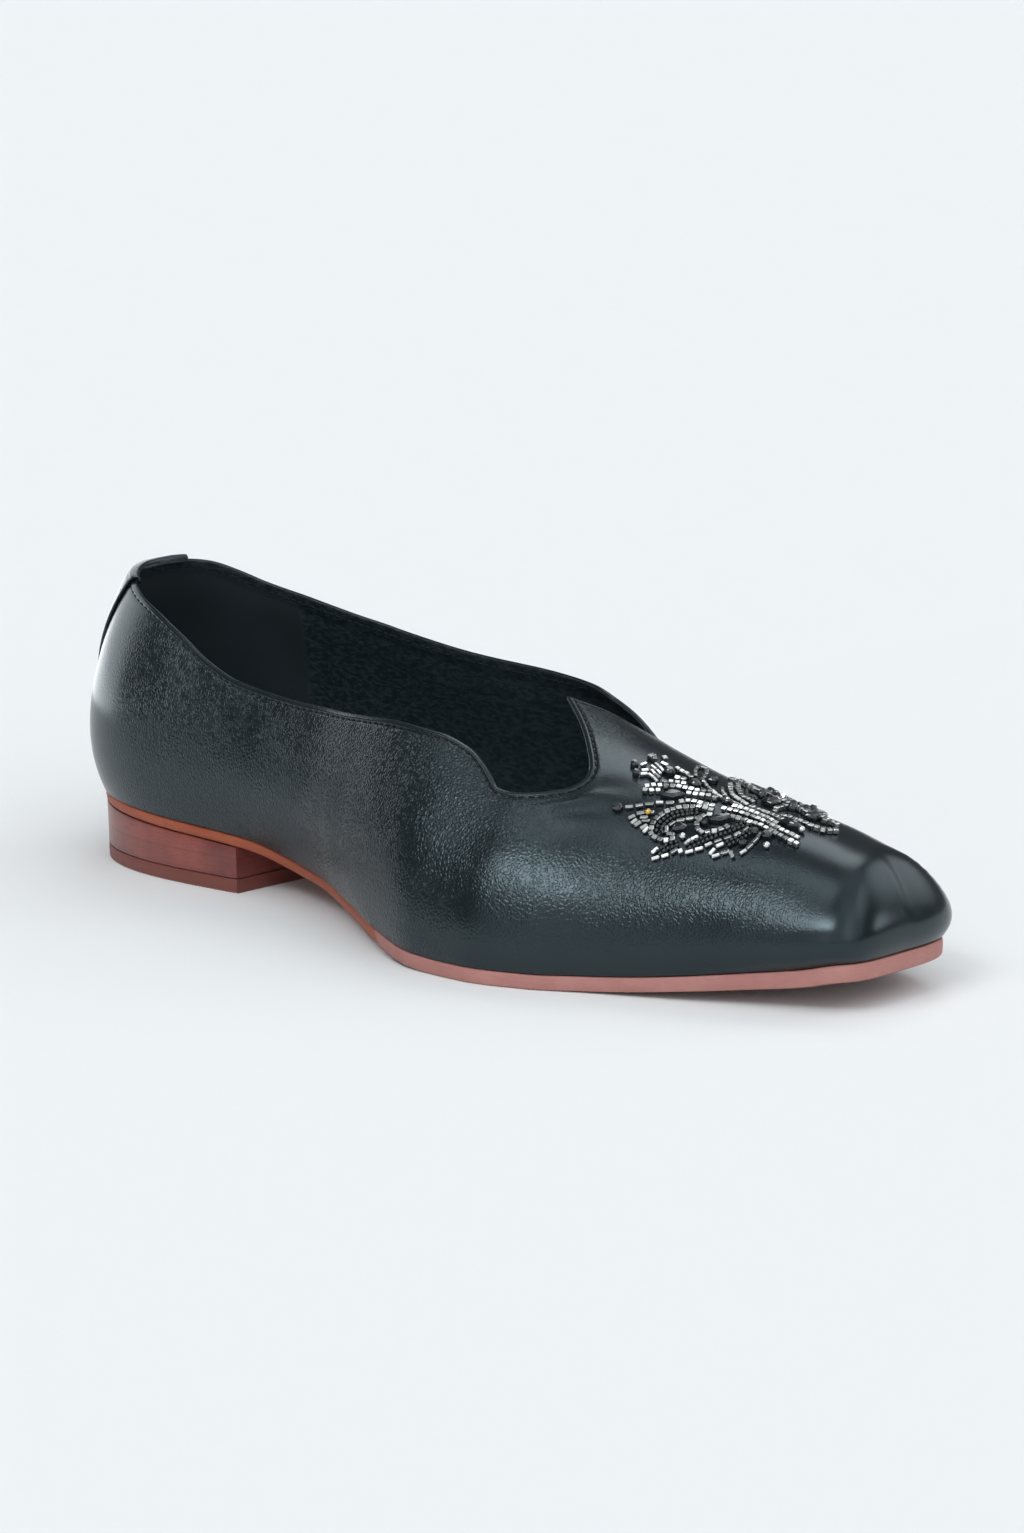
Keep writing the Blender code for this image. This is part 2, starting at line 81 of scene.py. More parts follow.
def steadyCurve(xs, ys):  # smooth through the rows without overshoot, straight past both ends
    xs, ys = np.asarray(xs, float), np.asarray(ys, float)
    step = np.diff(xs)
    slope = np.diff(ys) / step
    lean = np.zeros_like(ys)
    for i in range(1, len(xs) - 1):
        if slope[i - 1] * slope[i] > 0.0:
            before, after = 2.0 * step[i] + step[i - 1], step[i] + 2.0 * step[i - 1]
            lean[i] = (before + after) / (before / slope[i - 1] + after / slope[i])
    lean[0], lean[-1] = slope[0], slope[-1]

    def curve(x):
        x = np.asarray(x, float)
        k = np.clip(np.searchsorted(xs, x, side="right") - 1, 0, len(xs) - 2)
        t = np.clip((x - xs[k]) / step[k], 0.0, 1.0)
        value = ys[k] * (1.0 + 2.0 * t) * (1.0 - t) ** 2 + lean[k] * step[k] * t * (1.0 - t) ** 2
        value = value + ys[k + 1] * t * t * (3.0 - 2.0 * t) + lean[k + 1] * step[k] * t * t * (t - 1.0)
        value = np.where(x < xs[0], ys[0] + lean[0] * (x - xs[0]), value)
        return np.where(x > xs[-1], ys[-1] + lean[-1] * (x - xs[-1]), value)

    return curve


def fromRows(rows, index, scale=grade):
    table = np.array(rows, float)
    return steadyCurve(table[:, 0] * grade, table[:, index] * scale)


ridgeY, lateralHalf, medialHalf, ridgeZ = [fromRows(last["sections"], k) for k in (1, 2, 3, 4)]
lateralN, medialN = [fromRows(last["sections"], k, 1.0) for k in (5, 6)]
bulge = fromRows(last["sections"], 7)
seat, soleThick = fromRows(last["seat"], 1), fromRows(last["sole"], 1)
heelX, heelR, heelN = last["heelX"] * grade, last["heelR"] * grade, last["heelN"]
toeX, toeR = last["toeX"] * grade, last["toeR"] * grade
heelRun, midRun, toeRun = heelR * last["heelStretch"], toeX - heelX, toeR * last["toeStretch"]
wholeRun = heelRun + midRun + toeRun
wall, gap = last["wall"], last["gap"]


def toRow(points):  # pattern millimetres to the row's metres
    return (np.asarray(points, float) + np.array(last["shift"])) * 0.001


def halfWidth(x, side):
    return np.where(side < 0, lateralHalf(x), medialHalf(x))


def fullness(x, side):
    return np.where(side < 0, lateralN(x), medialN(x))


def toeRoundness(side):
    return np.where(side < 0, *last["toeN"])


def lastPoint(x, y):  # skin of the last over a place of the flat sole pattern
    x, y = np.asarray(x, float), np.asarray(y, float)
    side = np.where(y < ridgeY(x), -1.0, 1.0)
    half = halfWidth(x, side)
    inHeel, inToe = x < heelX, x > toeX
    along = np.where(inHeel, (heelX - x) / heelR, np.where(inToe, (x - toeX) / toeR, 0.0))
    power = np.where(inHeel, heelN, toeRoundness(side))
    over = np.abs(y - ridgeY(x)) / half
    q = (along ** power + over ** power) ** (1.0 / power)
    power = np.where(inHeel, heelN, last["toeSoftN"])
    soft = (along ** power + over ** power) ** (1.0 / power)
    q = q * q + (1.0 - np.minimum(q, 1.0)) * soft  # toe corners grow softer with height
    turn = (1.0 - np.clip(q, 0.0, 1.0)) * np.pi / 2.0
    n = fullness(x, side)
    size = (np.abs(np.cos(turn)) ** n + np.abs(np.sin(turn)) ** n) ** (1.0 / n)
    reach, height = np.cos(turn) / size, np.sin(turn) / size
    reach = reach + bulge(x) / half * last["bulgeTop"] * height * (1.0 - height) ** 3
    grow = np.where(q < 1e-6, np.pi / 2.0, reach / np.maximum(q, 1e-6))
    along, over = along * grow, over * grow
    px = np.where(inHeel, heelX - heelR * along, np.where(inToe, toeX + toeR * along, x))
    py = ridgeY(px) + side * halfWidth(px, side) * over
    return np.stack([px, py, seat(px) + (ridgeZ(px) - seat(px)) * height], -1)


def lastSlopes(x, y, d=0.05):  # how the skin runs along and across the pattern
    along = (lastPoint(x + d, y) - lastPoint(x - d, y)) / (2.0 * d)
    across = (lastPoint(x, y + d) - lastPoint(x, y - d)) / (2.0 * d)
    return along, across


def unit(v):
    return v / np.maximum(np.linalg.norm(v, axis=-1, keepdims=True), 1e-12)


def lastNormal(x, y):
    return unit(np.cross(*lastSlopes(x, y)))


def skinAt(places):
    return lastPoint(places[..., 0], places[..., 1])


def normalAt(places):
    return lastNormal(places[..., 0], places[..., 1])


def settle(target, place):  # pattern places whose skin lies nearest the wanted points
    place = np.array(place, float)
    for _ in range(7):
        along, across = lastSlopes(place[..., 0], place[..., 1])
        miss = target - skinAt(place)
        a, b, c = (along * along).sum(-1), (along * across).sum(-1), (across * across).sum(-1)
        e, f = (along * miss).sum(-1), (across * miss).sum(-1)
        det = np.maximum(a * c - b * b, 1e-9)
        place[..., 0] += np.clip((c * e - b * f) / det, -2.0, 2.0)
        place[..., 1] += np.clip((a * f - b * e) / det, -2.0, 2.0)
    return place


def roundEnd(share, power):  # quarter of a squared-off circle
    turn = np.clip(share, 0.0, 1.0) * np.pi / 2.0
    size = (np.cos(turn) ** power + np.sin(turn) ** power) ** (1.0 / power)
    return np.cos(turn) / size, np.sin(turn) / size


def outline(side, u):  # feather line in plan, from the heel's back at 0 to the tip of the toe at 1
    run = np.asarray(u, float) * wholeRun
    back, out = roundEnd(run / heelRun, heelN)
    outToe, front = roundEnd((run - heelRun - midRun) / toeRun, toeRoundness(side))
    inHeel, inToe = run < heelRun, run > heelRun + midRun
    x = np.where(inHeel, heelX - heelR * back, np.where(inToe, toeX + toeR * front, heelX + run - heelRun))
    over = np.where(inHeel, out, np.where(inToe, outToe, 1.0))
    return x, ridgeY(x) + side * halfWidth(x, side) * over


def runAt(x):  # share of the feather line at a length of the shoe
    return (heelRun + x - heelX) / wholeRun


def offsetOutline(side, u, outset):  # feather line moved outwards in plan
    d = 1e-4
    u = np.asarray(u, float)
    x, y = outline(side, u)
    x0, y0 = outline(side, np.clip(u - d, 0.0, 1.0))
    x1, y1 = outline(side, np.clip(u + d, 0.0, 1.0))
    size = np.hypot(x1 - x0, y1 - y0)
    nx, ny = -side * (y1 - y0) / size, side * (x1 - x0) / size
    ny = np.where((u <= 0.0) | (u >= 1.0), 0.0, ny)
    return x + nx * outset, y + ny * outset


def alongRib(side, x, q):  # pattern place on the way from the ridge to the feather line
    x = np.asarray(x, float)
    back = np.clip((heelX - x) / heelR, 0.0, 1.0)
    over = (1.0 - back ** heelN) ** (1.0 / heelN)
    px = np.where(x < heelX, heelX - heelR * back * q, x)
    return px, ridgeY(px) + side * halfWidth(px, side) * over * q


def shareAtHeight(side, x, z):  # how far out on a rib the skin has a height
    n = fullness(x, side)
    height = np.clip((z - seat(x)) / (ridgeZ(x) - seat(x)), 0.0, 1.0)
    return 1.0 - np.arctan2(height, (1.0 - height ** n) ** (1.0 / n)) * 2.0 / np.pi


def patternAt(x, y):  # pattern place under a plan point of the skin
    x, y = np.asarray(x, float), np.asarray(y, float)
    side = np.where(y < ridgeY(x), -1.0, 1.0)
    n = fullness(x, side)
    reach = np.clip(np.abs(y - ridgeY(x)) / halfWidth(x, side), 0.0, 1.0)
    q = 1.0 - np.arctan2((1.0 - reach ** n) ** (1.0 / n), reach) * 2.0 / np.pi
    return np.stack([x, ridgeY(x) + side * halfWidth(x, side) * q], -1)


def arcLength(points):
    return np.concatenate([[0.0], np.cumsum(np.linalg.norm(np.diff(points, axis=0), axis=1))])


def pointAt(length, points, at):  # points of a line at lengths along it
    return np.stack([np.interp(at, length, points[:, k]) for k in range(points.shape[1])], -1)


def smoothLine(path, count):  # evenly spaced plan points on a smooth line through a drawn path
    points = np.array(path, float) * grade
    run = arcLength(points)
    fine = np.linspace(0.0, run[-1], count)
    return np.stack([steadyCurve(run, points[:, k])(fine) for k in (0, 1)], -1)


# Finishes
def newMaterial(name):
    made = bpy.data.materials.new(name)
    made.use_nodes = True
    return made, made.node_tree, made.node_tree.nodes["Principled BSDF"]


def feed(tree, made, inputs):  # links what comes from another node and sets the rest
    for key, value in inputs.items():
        if isinstance(value, bpy.types.NodeSocket):
            tree.links.new(value, made.inputs[key])
        else:
            made.inputs[key].default_value = value


def addNode(tree, kind, inputs=None, **settings):
    made = tree.nodes.new(kind)
    for key, value in settings.items():
        setattr(made, key, value)
    feed(tree, made, inputs or {})
    return made


def maths(tree, operation, a, b):
    return addNode(tree, "ShaderNodeMath", {0: a, 1: b}, operation=operation).outputs[0]


def vectorMaths(tree, operation, a, b):
    return addNode(tree, "ShaderNodeVectorMath", {0: a, 1: b}, operation=operation).outputs[0]


def ramped(tree, value, low, high, toLow=0.0, toHigh=1.0):
    inputs = {0: value, 1: low, 2: high, 3: toLow, 4: toHigh}
    return addNode(tree, "ShaderNodeMapRange", inputs, interpolation_type="SMOOTHSTEP").outputs[0]


def mixed(tree, share, a, b):
    return addNode(tree, "ShaderNodeMix", {0: share, 6: a, 7: b}, data_type="RGBA").outputs[2]


def objectCoords(tree, scale=(1.0, 1.0, 1.0), turn=(0.0, 0.0, 0.0)):
    coords = addNode(tree, "ShaderNodeTexCoord").outputs["Object"]
    made = addNode(tree, "ShaderNodeMapping", {"Vector": coords, "Scale": scale, "Rotation": turn})
    return made.outputs[0]


def noiseOf(tree, vector, scale, detail=2.0, rough=0.5):
    inputs = {"Vector": vector, "Scale": scale, "Detail": detail, "Roughness": rough}
    return addNode(tree, "ShaderNodeTexNoise", inputs).outputs["Fac"]


def marked(tree, name):  # a share kept on the mesh
    return addNode(tree, "ShaderNodeAttribute", attribute_name=name).outputs["Fac"]


def bumped(tree, shader, height, depth):
    made = addNode(tree, "ShaderNodeBump", {"Height": height, "Distance": depth, "Strength": 1.0})
    feed(tree, shader, {"Normal": made.outputs[0]})


leather = {
    "tint": (0.0055, 0.0088, 0.0105, 1.0), "worn": (0.0085, 0.0122, 0.0142, 1.0),
    "gleam": (0.74, 0.93, 1.0, 1.0), "ior": 1.52, "depth": 0.0001,
    "pebble": 1080.0, "pores": 3600.0, "patches": 55.0, "wear": 38.0,  # repeats in a metre
    "wander": 420.0, "push": (0.0011, 0.0011, 0.0011),  # how far the pebbles stray
    "squash": (1.0, 1.0, 0.72), "lean": (0.0, 0.5, 0.0),
}


def makeLeather(name, rough, pebbleShare, tint):
    made, tree, shader = newMaterial(name)
    coords = objectCoords(tree, leather["squash"], leather["lean"])
    inputs = {"Vector": coords, "Scale": leather["wander"], "Detail": 2.0}
    wander = addNode(tree, "ShaderNodeTexNoise", inputs).outputs["Color"]
    warped = vectorMaths(tree, "ADD", coords, vectorMaths(tree, "MULTIPLY", wander, leather["push"]))
    cells = addNode(tree, "ShaderNodeTexVoronoi", {"Vector": warped, "Scale": leather["pebble"]},
                    feature="DISTANCE_TO_EDGE")
    pebbles = ramped(tree, cells.outputs["Distance"], 0.0, 0.34)
    grain = marked(tree, "grain")
    patches = noiseOf(tree, coords, leather["patches"], 3.0)
    amount = maths(tree, "MULTIPLY", grain, ramped(tree, patches, 0.25, 0.75, 0.55, 1.1))
    pores = noiseOf(tree, warped, leather["pores"], 3.0, 0.6)
    height = maths(tree, "MULTIPLY", pebbles, maths(tree, "MULTIPLY", amount, pebbleShare))
    height = maths(tree, "ADD", height, maths(tree, "MULTIPLY", pores, 0.12))
    bumped(tree, shader, height, leather["depth"])
    wear = noiseOf(tree, coords, leather["wear"], 4.0)
    base = mixed(tree, ramped(tree, wear, 0.35, 0.8), tint, leather["worn"])
    gloss = ramped(tree, patches, 0.2, 0.8, rough - 0.04, rough + 0.06)
    gloss = maths(tree, "ADD", gloss, maths(tree, "MULTIPLY", grain, 0.05))
    feed(tree, shader, {"Base Color": base, "Roughness": gloss})
    feed(tree, shader, {"IOR": leather["ior"], "Specular Tint": leather["gleam"]})
    return made


lining = {
    # front: painted shade, darker in the crease troughs and paler on the crease ridges
    "front": ((0.010, 0.017, 0.021, 1.0), (0.025, 0.037, 0.043, 1.0)),
    "back": ((0.004, 0.0085, 0.0115, 1.0), (0.010, 0.018, 0.0225, 1.0)),
    "creases": 420.0, "nap": 2600.0, "clouds": 60.0, "depth": 0.00009, "rough": (0.36, 0.85),
}


def makeLining():  # smooth creased leather in front, napped grip leather round the heel
    made, tree, shader = newMaterial("liningLeather")
    coords = objectCoords(tree)
    grip = marked(tree, "grip")
    long = objectCoords(tree, (1.0, 1.0, 2.4), (0.0, 0.35, 0.0))
    creases = ramped(tree, noiseOf(tree, long, lining["creases"], 4.0, 0.58), 0.3, 0.7)
    nap = noiseOf(tree, coords, lining["nap"], 4.0, 0.7)
    height = maths(tree, "ADD", maths(tree, "MULTIPLY", creases, maths(tree, "SUBTRACT", 1.0, grip)),
                   maths(tree, "MULTIPLY", nap, ramped(tree, grip, 0.0, 1.0, 0.05, 0.35)))
    bumped(tree, shader, height, lining["depth"])
    # painted shade: the colour follows the crease relief, darker in the troughs and paler on the ridges
    front = mixed(tree, ramped(tree, creases, 0.2, 0.9), *lining["front"])
    back = mixed(tree, noiseOf(tree, coords, lining["clouds"], 4.0), *lining["back"])
    gloss = ramped(tree, grip, 0.0, 1.0, *lining["rough"])
    feed(tree, shader, {"Base Color": mixed(tree, grip, front, back), "Roughness": gloss})
    return made


edges = {  # deep and pale tint, tint of the streaks
    "waist": {"tints": ((0.28, 0.053, 0.018, 1.0), (0.335, 0.079, 0.031, 1.0), (0.15, 0.033, 0.013, 1.0)),
              "rough": 0.5, "depth": 0.00012},
    "forefoot": {"tints": ((0.345, 0.146, 0.126, 1.0), (0.40, 0.183, 0.16, 1.0), (0.28, 0.116, 0.103, 1.0)),
                 "rough": 0.62, "depth": 0.00010},
    "topPiece": {"tints": ((0.145, 0.038, 0.029, 1.0), (0.18, 0.05, 0.037, 1.0), (0.11, 0.029, 0.024, 1.0)),
                 "rough": 0.45, "depth": 0.00007},
}


def makeEdge(name):  # sanded sole and heel edges
    made, tree, shader = newMaterial(name + "Edge")
    deep, pale, streak = edges[name]["tints"]
    rough = edges[name]["rough"]
    coords = objectCoords(tree)
    cloud = noiseOf(tree, coords, 70.0, 4.0, 0.6)
    lines = noiseOf(tree, objectCoords(tree, (1.0, 1.0, 6.0)), 260.0, 4.0, 0.65)
    base = mixed(tree, ramped(tree, cloud, 0.3, 0.72), deep, pale)
    base = mixed(tree, maths(tree, "MULTIPLY", ramped(tree, lines, 0.5, 0.75), 0.5), base, streak)
    gloss = ramped(tree, cloud, 0.2, 0.8, rough - 0.06, rough + 0.08)
    feed(tree, shader, {"Base Color": base, "Roughness": gloss})
    pits = noiseOf(tree, coords, 1900.0, 3.0, 0.6)
    bumped(tree, shader, maths(tree, "ADD", lines, maths(tree, "MULTIPLY", pits, 0.6)), edges[name]["depth"])
    return made


stack = {
    "deep": (0.118, 0.024, 0.021, 1.0), "pale": (0.25, 0.053, 0.039, 1.0),
    "fibre": (0.09, 0.021, 0.019, 1.0), "joint": (0.07, 0.015, 0.014, 1.0),
    "layers": 62.0, "rough": 0.36, "polish": 0.25, "polishRough": 0.22, "depth": 0.00010,
}


def makeHeelStack():  # stained layers pressed into one block
    made, tree, shader = newMaterial("heelStack")
    coords = objectCoords(tree)
    inputs = {"Vector": coords, "Scale": stack["layers"], "Distortion": 0.9, "Detail": 2.0}
    layer = addNode(tree, "ShaderNodeTexWave", inputs, wave_type="BANDS", bands_direction="Z",
                    wave_profile="SAW").outputs["Fac"]
    fibres = noiseOf(tree, objectCoords(tree, (1.0, 1.0, 5.0)), 330.0, 5.0, 0.65)
    cloud = noiseOf(tree, coords, 48.0, 4.0, 0.6)
    base = mixed(tree, ramped(tree, cloud, 0.3, 0.7), stack["deep"], stack["pale"])
    base = mixed(tree, maths(tree, "MULTIPLY", ramped(tree, fibres, 0.42, 0.75), 0.5), base, stack["fibre"])
    base = mixed(tree, maths(tree, "MULTIPLY", ramped(tree, layer, 0.86, 1.0), 0.35), base, stack["joint"])
    feed(tree, shader, {"Base Color": base, "Roughness": stack["rough"]})
    feed(tree, shader, {"Coat Weight": stack["polish"], "Coat Roughness": stack["polishRough"]})
    bumped(tree, shader, maths(tree, "ADD", fibres, maths(tree, "MULTIPLY", layer, 0.35)), stack["depth"])
    return made


tread = {"tint": (0.36, 0.16, 0.13, 1.0), "dark": (0.27, 0.115, 0.095, 1.0), "ribs": 170.0, "depth": 0.00035}


def makeTread():  # rubber sheet with fine crossed ribs underneath
    made, tree, shader = newMaterial("treadRubber")
    coords = objectCoords(tree)
    cloud = ramped(tree, noiseOf(tree, coords, 90.0, 4.0, 0.6), 0.3, 0.7)
    feed(tree, shader, {"Base Color": mixed(tree, cloud, tread["tint"], tread["dark"]), "Roughness": 0.6})
    inputs = {"Vector": coords, "Scale": tread["ribs"]}
    ribs = [addNode(tree, "ShaderNodeTexWave", inputs, bands_direction=way).outputs["Fac"] for way in "XY"]
    bumped(tree, shader, maths(tree, "MULTIPLY", ribs[0], ribs[1]), tread["depth"])
    return made


def makePlain(name, tint, rough, metal=0.0, coat=0.0, varied=0.0):  # thread, beads and stones
    made, tree, shader = newMaterial(name)
    specks = noiseOf(tree, objectCoords(tree), 1500.0, 2.0)
    dark = tuple(c * (1.0 - varied) for c in tint[:3]) + (1.0,)
    gloss = ramped(tree, specks, 0.3, 0.7, rough * 0.8, rough * 1.25)
    feed(tree, shader, {"Base Color": mixed(tree, marked(tree, "tone"), dark, tint), "Roughness": gloss})
    feed(tree, shader, {"Metallic": metal, "Coat Weight": coat, "Coat Roughness": 0.06})
    return made


finishes = {
    "upper": makeLeather("upperLeather", 0.20, 1.0, leather["tint"]),
    "lining": makeLining(),
    "waist": makeEdge("waist"),
    "forefoot": makeEdge("forefoot"),
    "stack": makeHeelStack(),
    "topPiece": makeEdge("topPiece"),
    "tread": makeTread(),
    "insole": makeLeather("insoleLeather", 0.5, 0.5, (0.012, 0.013, 0.015, 1.0)),
    "thread": makePlain("threadBlack", (0.006, 0.007, 0.008, 1.0), 0.75, varied=0.3),
    "silver": makePlain("silverCut", (0.76, 0.76, 0.75, 1.0), 0.24, metal=1.0, varied=0.5),
    "jet": makePlain("jetBead", (0.012, 0.014, 0.018, 1.0), 0.16, coat=0.6, varied=0.4),
    "stone": makePlain("darkStone", (0.010, 0.014, 0.017, 1.0), 0.06, coat=1.0, varied=0.3),
    "gold": makePlain("goldBead", (0.72, 0.47, 0.16, 1.0), 0.22, metal=1.0, varied=0.3),
}
print("finishes:", len(finishes))


# Meshes
def addToScene(name, data):
    made = bpy.data.objects.new(name, data)
    bpy.context.scene.collection.objects.link(made)
    return made


def mappedGrid(points, marks=None, liningRow=None):  # a grid bent to points, with shares marked on it
    cols, rows = points.shape[0] - 1, points.shape[1] - 1
    bm = bmesh.new()
    bm.loops.layers.uv.new("UVMap")
    bmesh.ops.create_grid(bm, x_segments=cols, y_segments=rows, size=1.0, calc_uvs=True)
    layers = {name: bm.verts.layers.float.new(name) for name in (marks or {})}
    rowOf = {}
    for v in bm.verts:
        i, j = round((v.co.x + 1.0) / 2.0 * cols), round((v.co.y + 1.0) / 2.0 * rows)
        v.co = points[i, j]
        rowOf[v] = j
        for name, layer in layers.items():
            v[layer] = marks[name][i, j]
    if liningRow is not None:
        for f in bm.faces:
            f.material_index = 1 if min(rowOf[v] for v in f.verts) >= liningRow else 0
    return bm


def finishPiece(bm, name, materials, node, sharp=None):
    bmesh.ops.remove_doubles(bm, verts=bm.verts, dist=2e-6)
    bmesh.ops.dissolve_degenerate(bm, edges=bm.edges, dist=1e-7)
    bmesh.ops.recalc_face_normals(bm, faces=bm.faces)
    for f in bm.faces:
        f.smooth = True
    mesh = bpy.data.meshes.new(name)
    bm.to_mesh(mesh)
    bm.free()
    return showPiece(mesh, name, materials, node, sharp)


def showPiece(mesh, name, materials, node, sharp):
    if sharp:
        mesh.set_sharp_from_angle(angle=math.radians(sharp))
    for made in materials:
        mesh.materials.append(made)
    piece = addToScene(name, mesh)
    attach(piece, "root")
    if node:
        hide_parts(node)
    print("piece", name, sum(len(p.vertices) - 2 for p in mesh.polygons), "triangles")
    return piece


def joinCopies(name, protos, copies, materials, node, sharp=None):
    # one mesh from many small shapes; a copy has a shape, axes, a place, a material number and a tone
    spots, faces, numbers, tones = [], [], [], []
    base = 0
    for shape, axes, place, number, tone in copies:
        corners, loops = protos[shape]
        spots.append(corners @ axes + place)
        faces += [tuple(base + k for k in loop) for loop in loops]
        numbers += [number] * len(loops)
        tones += [tone] * len(corners)
        base += len(corners)
    mesh = bpy.data.meshes.new(name)
    mesh.from_pydata(toRow(np.concatenate(spots)).tolist(), [], faces)
    mesh.polygons.foreach_set("material_index", numbers)
    mesh.attributes.new("tone", "FLOAT", "POINT").data.foreach_set("value", tones)
    mesh.polygons.foreach_set("use_smooth", [True] * len(faces))
    mesh.update()
    return showPiece(mesh, name, materials, node, sharp)


def shapeOf(bm):  # corners and faces of a small bmesh, to copy many times
    bmesh.ops.recalc_face_normals(bm, faces=bm.faces)
    bm.verts.index_update()
    corners = np.array([v.co[:] for v in bm.verts])
    loops = [[v.index for v in f.verts] for f in bm.faces]
    bm.free()
    return corners, loops


# Upper: one wall from the feather line over the turned collar edge and down inside
upper = {
    "lateralRim": [  # x, height
        (0.5, 80.2), (7, 79.4), (15, 77.8), (30, 73.6), (48, 66.7), (60, 61.0), (72, 57.2), (85, 55.4),
        (97, 54.8), (110, 54.9), (123, 55.7), (134.5, 56.4), (149, 55.3), (158, 52.6), (164, 49.3),
        (170.4, 44.8),
    ],
    "medialRim": [
        (0.5, 80.2), (5.6, 79.0), (12.7, 76.4), (21, 73.6), (35, 70.3), (50, 67.8), (60, 66.5),
        (75.5, 65.0), (98, 62.5), (115, 61.4), (130, 60.9), (142, 60.2), (151, 59.5), (157, 57.7),
        (161.5, 54.8), (165, 51.4), (169.5, 46.2),
    ],
    "lateralThroat": [  # x, y after the cusp
        (174, -34.2), (178, -32.5), (183, -28.7), (185.9, -25.3), (186.7, -22.3), (186.0, -19.7),
        (184.0, -17.2), (180.8, -14.3), (174.3, -9.0), (168, -4.6), (160.8, 0.0),
    ],
    "medialThroat": [
        (172.5, 26.3), (176, 26.0), (179.5, 25.2), (182, 23.7), (183, 21.7), (182.6, 19.2),
        (180.6, 15.2), (174.6, 9.4), (168, 4.7), (160.8, 0.0),
    ],
    "quarterColumns": 150, "throatColumns": 116, "outerRows": 52, "innerRows": 34,
    "shelf": 4.0, "crowding": 0.11, "thinned": 0.66, "skiveFrom": 0.74, "peakColumns": 60, "peakClear": 0.05,
    "edge": [  # below the rim, depth into the wall: channel of the stitches, turned edge, lining
        (3.2, 0.0), (2.6, 0.02), (2.2, 0.12), (1.95, 0.30), (1.7, 0.30), (1.5, 0.10), (1.3, 0.0),
        (0.95, 0.04), (0.6, 0.16), (0.3, 0.32), (0.09, 0.53), (0.0, 0.70), (0.06, 0.82), (0.30, 0.88),
        (0.32, 0.95), (0.17, 1.03), (0.15, 1.17), (0.36, 1.33), (0.9, 1.42), (2.0, 1.5),
    ],
    "smoothFrom": 4, "liningFrom": 13,  # rows of the edge
    "gripEnd": 37.5, "gripStep": 0.45, "gripLean": 0.09, "gripMid": 60.0, "gripSoft": 0.35,
    "grain": {"heel": (18.0, 30.0), "tip": (262.0, 26.0), "front": (145.0, 35.0),  # start, run
              "vamp": (172.0, 22.0), "vampTop": (28.0, 9.0)},
    "hide": ((24.0, 0.08), (10.0, 0.025)),  # wave and height of the slow unevenness
    "creaseFade": (0.12, 0.10),
    "creases": [  # plan path, height of the ridge or depth of the trough, half width
        ([(181, -33.5), (187, -29.0), (192, -24.5), (197, -20.5)], 0.28, 2.2),
        ([(186, -33.0), (193, -28.0), (199, -24.0)], -0.30, 2.6),
        ([(190, -23.0), (195, -18.5), (200, -15.5)], -0.26, 2.4),
        ([(160, -46.0), (170, -45.0), (180, -41.0)], -0.22, 3.5),
        ([(150, -44.0), (163, -40.0), (172, -39.0)], 0.20, 3.0),
    ],
}


def throatCurve(side, rows, cuspX, cuspZ, count):  # collar from the cusp to the peak, spaced on the skin
    q = shareAtHeight(side, np.float64(cuspX), cuspZ)
    places = [(cuspX, ridgeY(cuspX) + side * halfWidth(cuspX, side) * q)]
    places += [tuple(patternAt(x * grade, y * grade)) for x, y in rows]
    places = np.array(places, float)
    run = arcLength(places)
    fx, fy = steadyCurve(run, places[:, 0]), steadyCurve(run, places[:, 1])
    fine = np.linspace(0.0, run[-1], 600)
    length = arcLength(lastPoint(fx(fine), fy(fine)))
    want = np.interp(np.linspace(0.0, length[-1], count + 1), length, fine)
    return np.stack([fx(want), fy(want)], -1)


def collarColumns():  # matching pattern places on the feather line and the collar, round the shoe
    found = {}
    for side, rimRows, throatRows in ((-1.0, upper["lateralRim"], upper["lateralThroat"]),
                                      (1.0, upper["medialRim"], upper["medialThroat"])):
        rimZ = fromRows(rimRows, 1)
        cuspX = rimRows[-1][0] * grade
        u = np.linspace(0.0, runAt(cuspX), upper["quarterColumns"] + 1)
        fx, fy = outline(side, u)
        kx, ky = alongRib(side, fx, shareAtHeight(side, fx, rimZ(fx)))
        feet, tops = np.stack([fx, fy], -1), np.stack([kx, ky], -1)
        throat = throatCurve(side, throatRows, cuspX, rimZ(cuspX), upper["throatColumns"])
        fx, fy = outline(side, np.linspace(runAt(cuspX), 1.0, upper["throatColumns"] + 1))
        feet = np.concatenate([feet, np.stack([fx, fy], -1)[1:]])
        tops = np.concatenate([tops, throat[1:]])
        found[side] = (feet, tops)
    feet = np.concatenate([found[-1.0][0], found[1.0][0][-2:0:-1]])
    tops = np.concatenate([found[-1.0][1], found[1.0][1][-2:0:-1]])
    return feet, tops


def collarFrames(tops):  # skin point and the way past the edge
    skin, out = skinAt(tops), normalAt(tops)
    run = unit(np.roll(skin, -1, 0) - np.roll(skin, 1, 0))
    past = unit(np.cross(out, run))
    for _ in range(3):
        past = past * 0.5 + (np.roll(past, 1, 0) + np.roll(past, -1, 0)) * 0.25
    past = unit(past - out * (past * out).sum(-1, keepdims=True))
    return skin, past


feet, tops = collarColumns()
rimSkin, rimPast = collarFrames(tops)
peak = upper["quarterColumns"] + upper["throatColumns"]


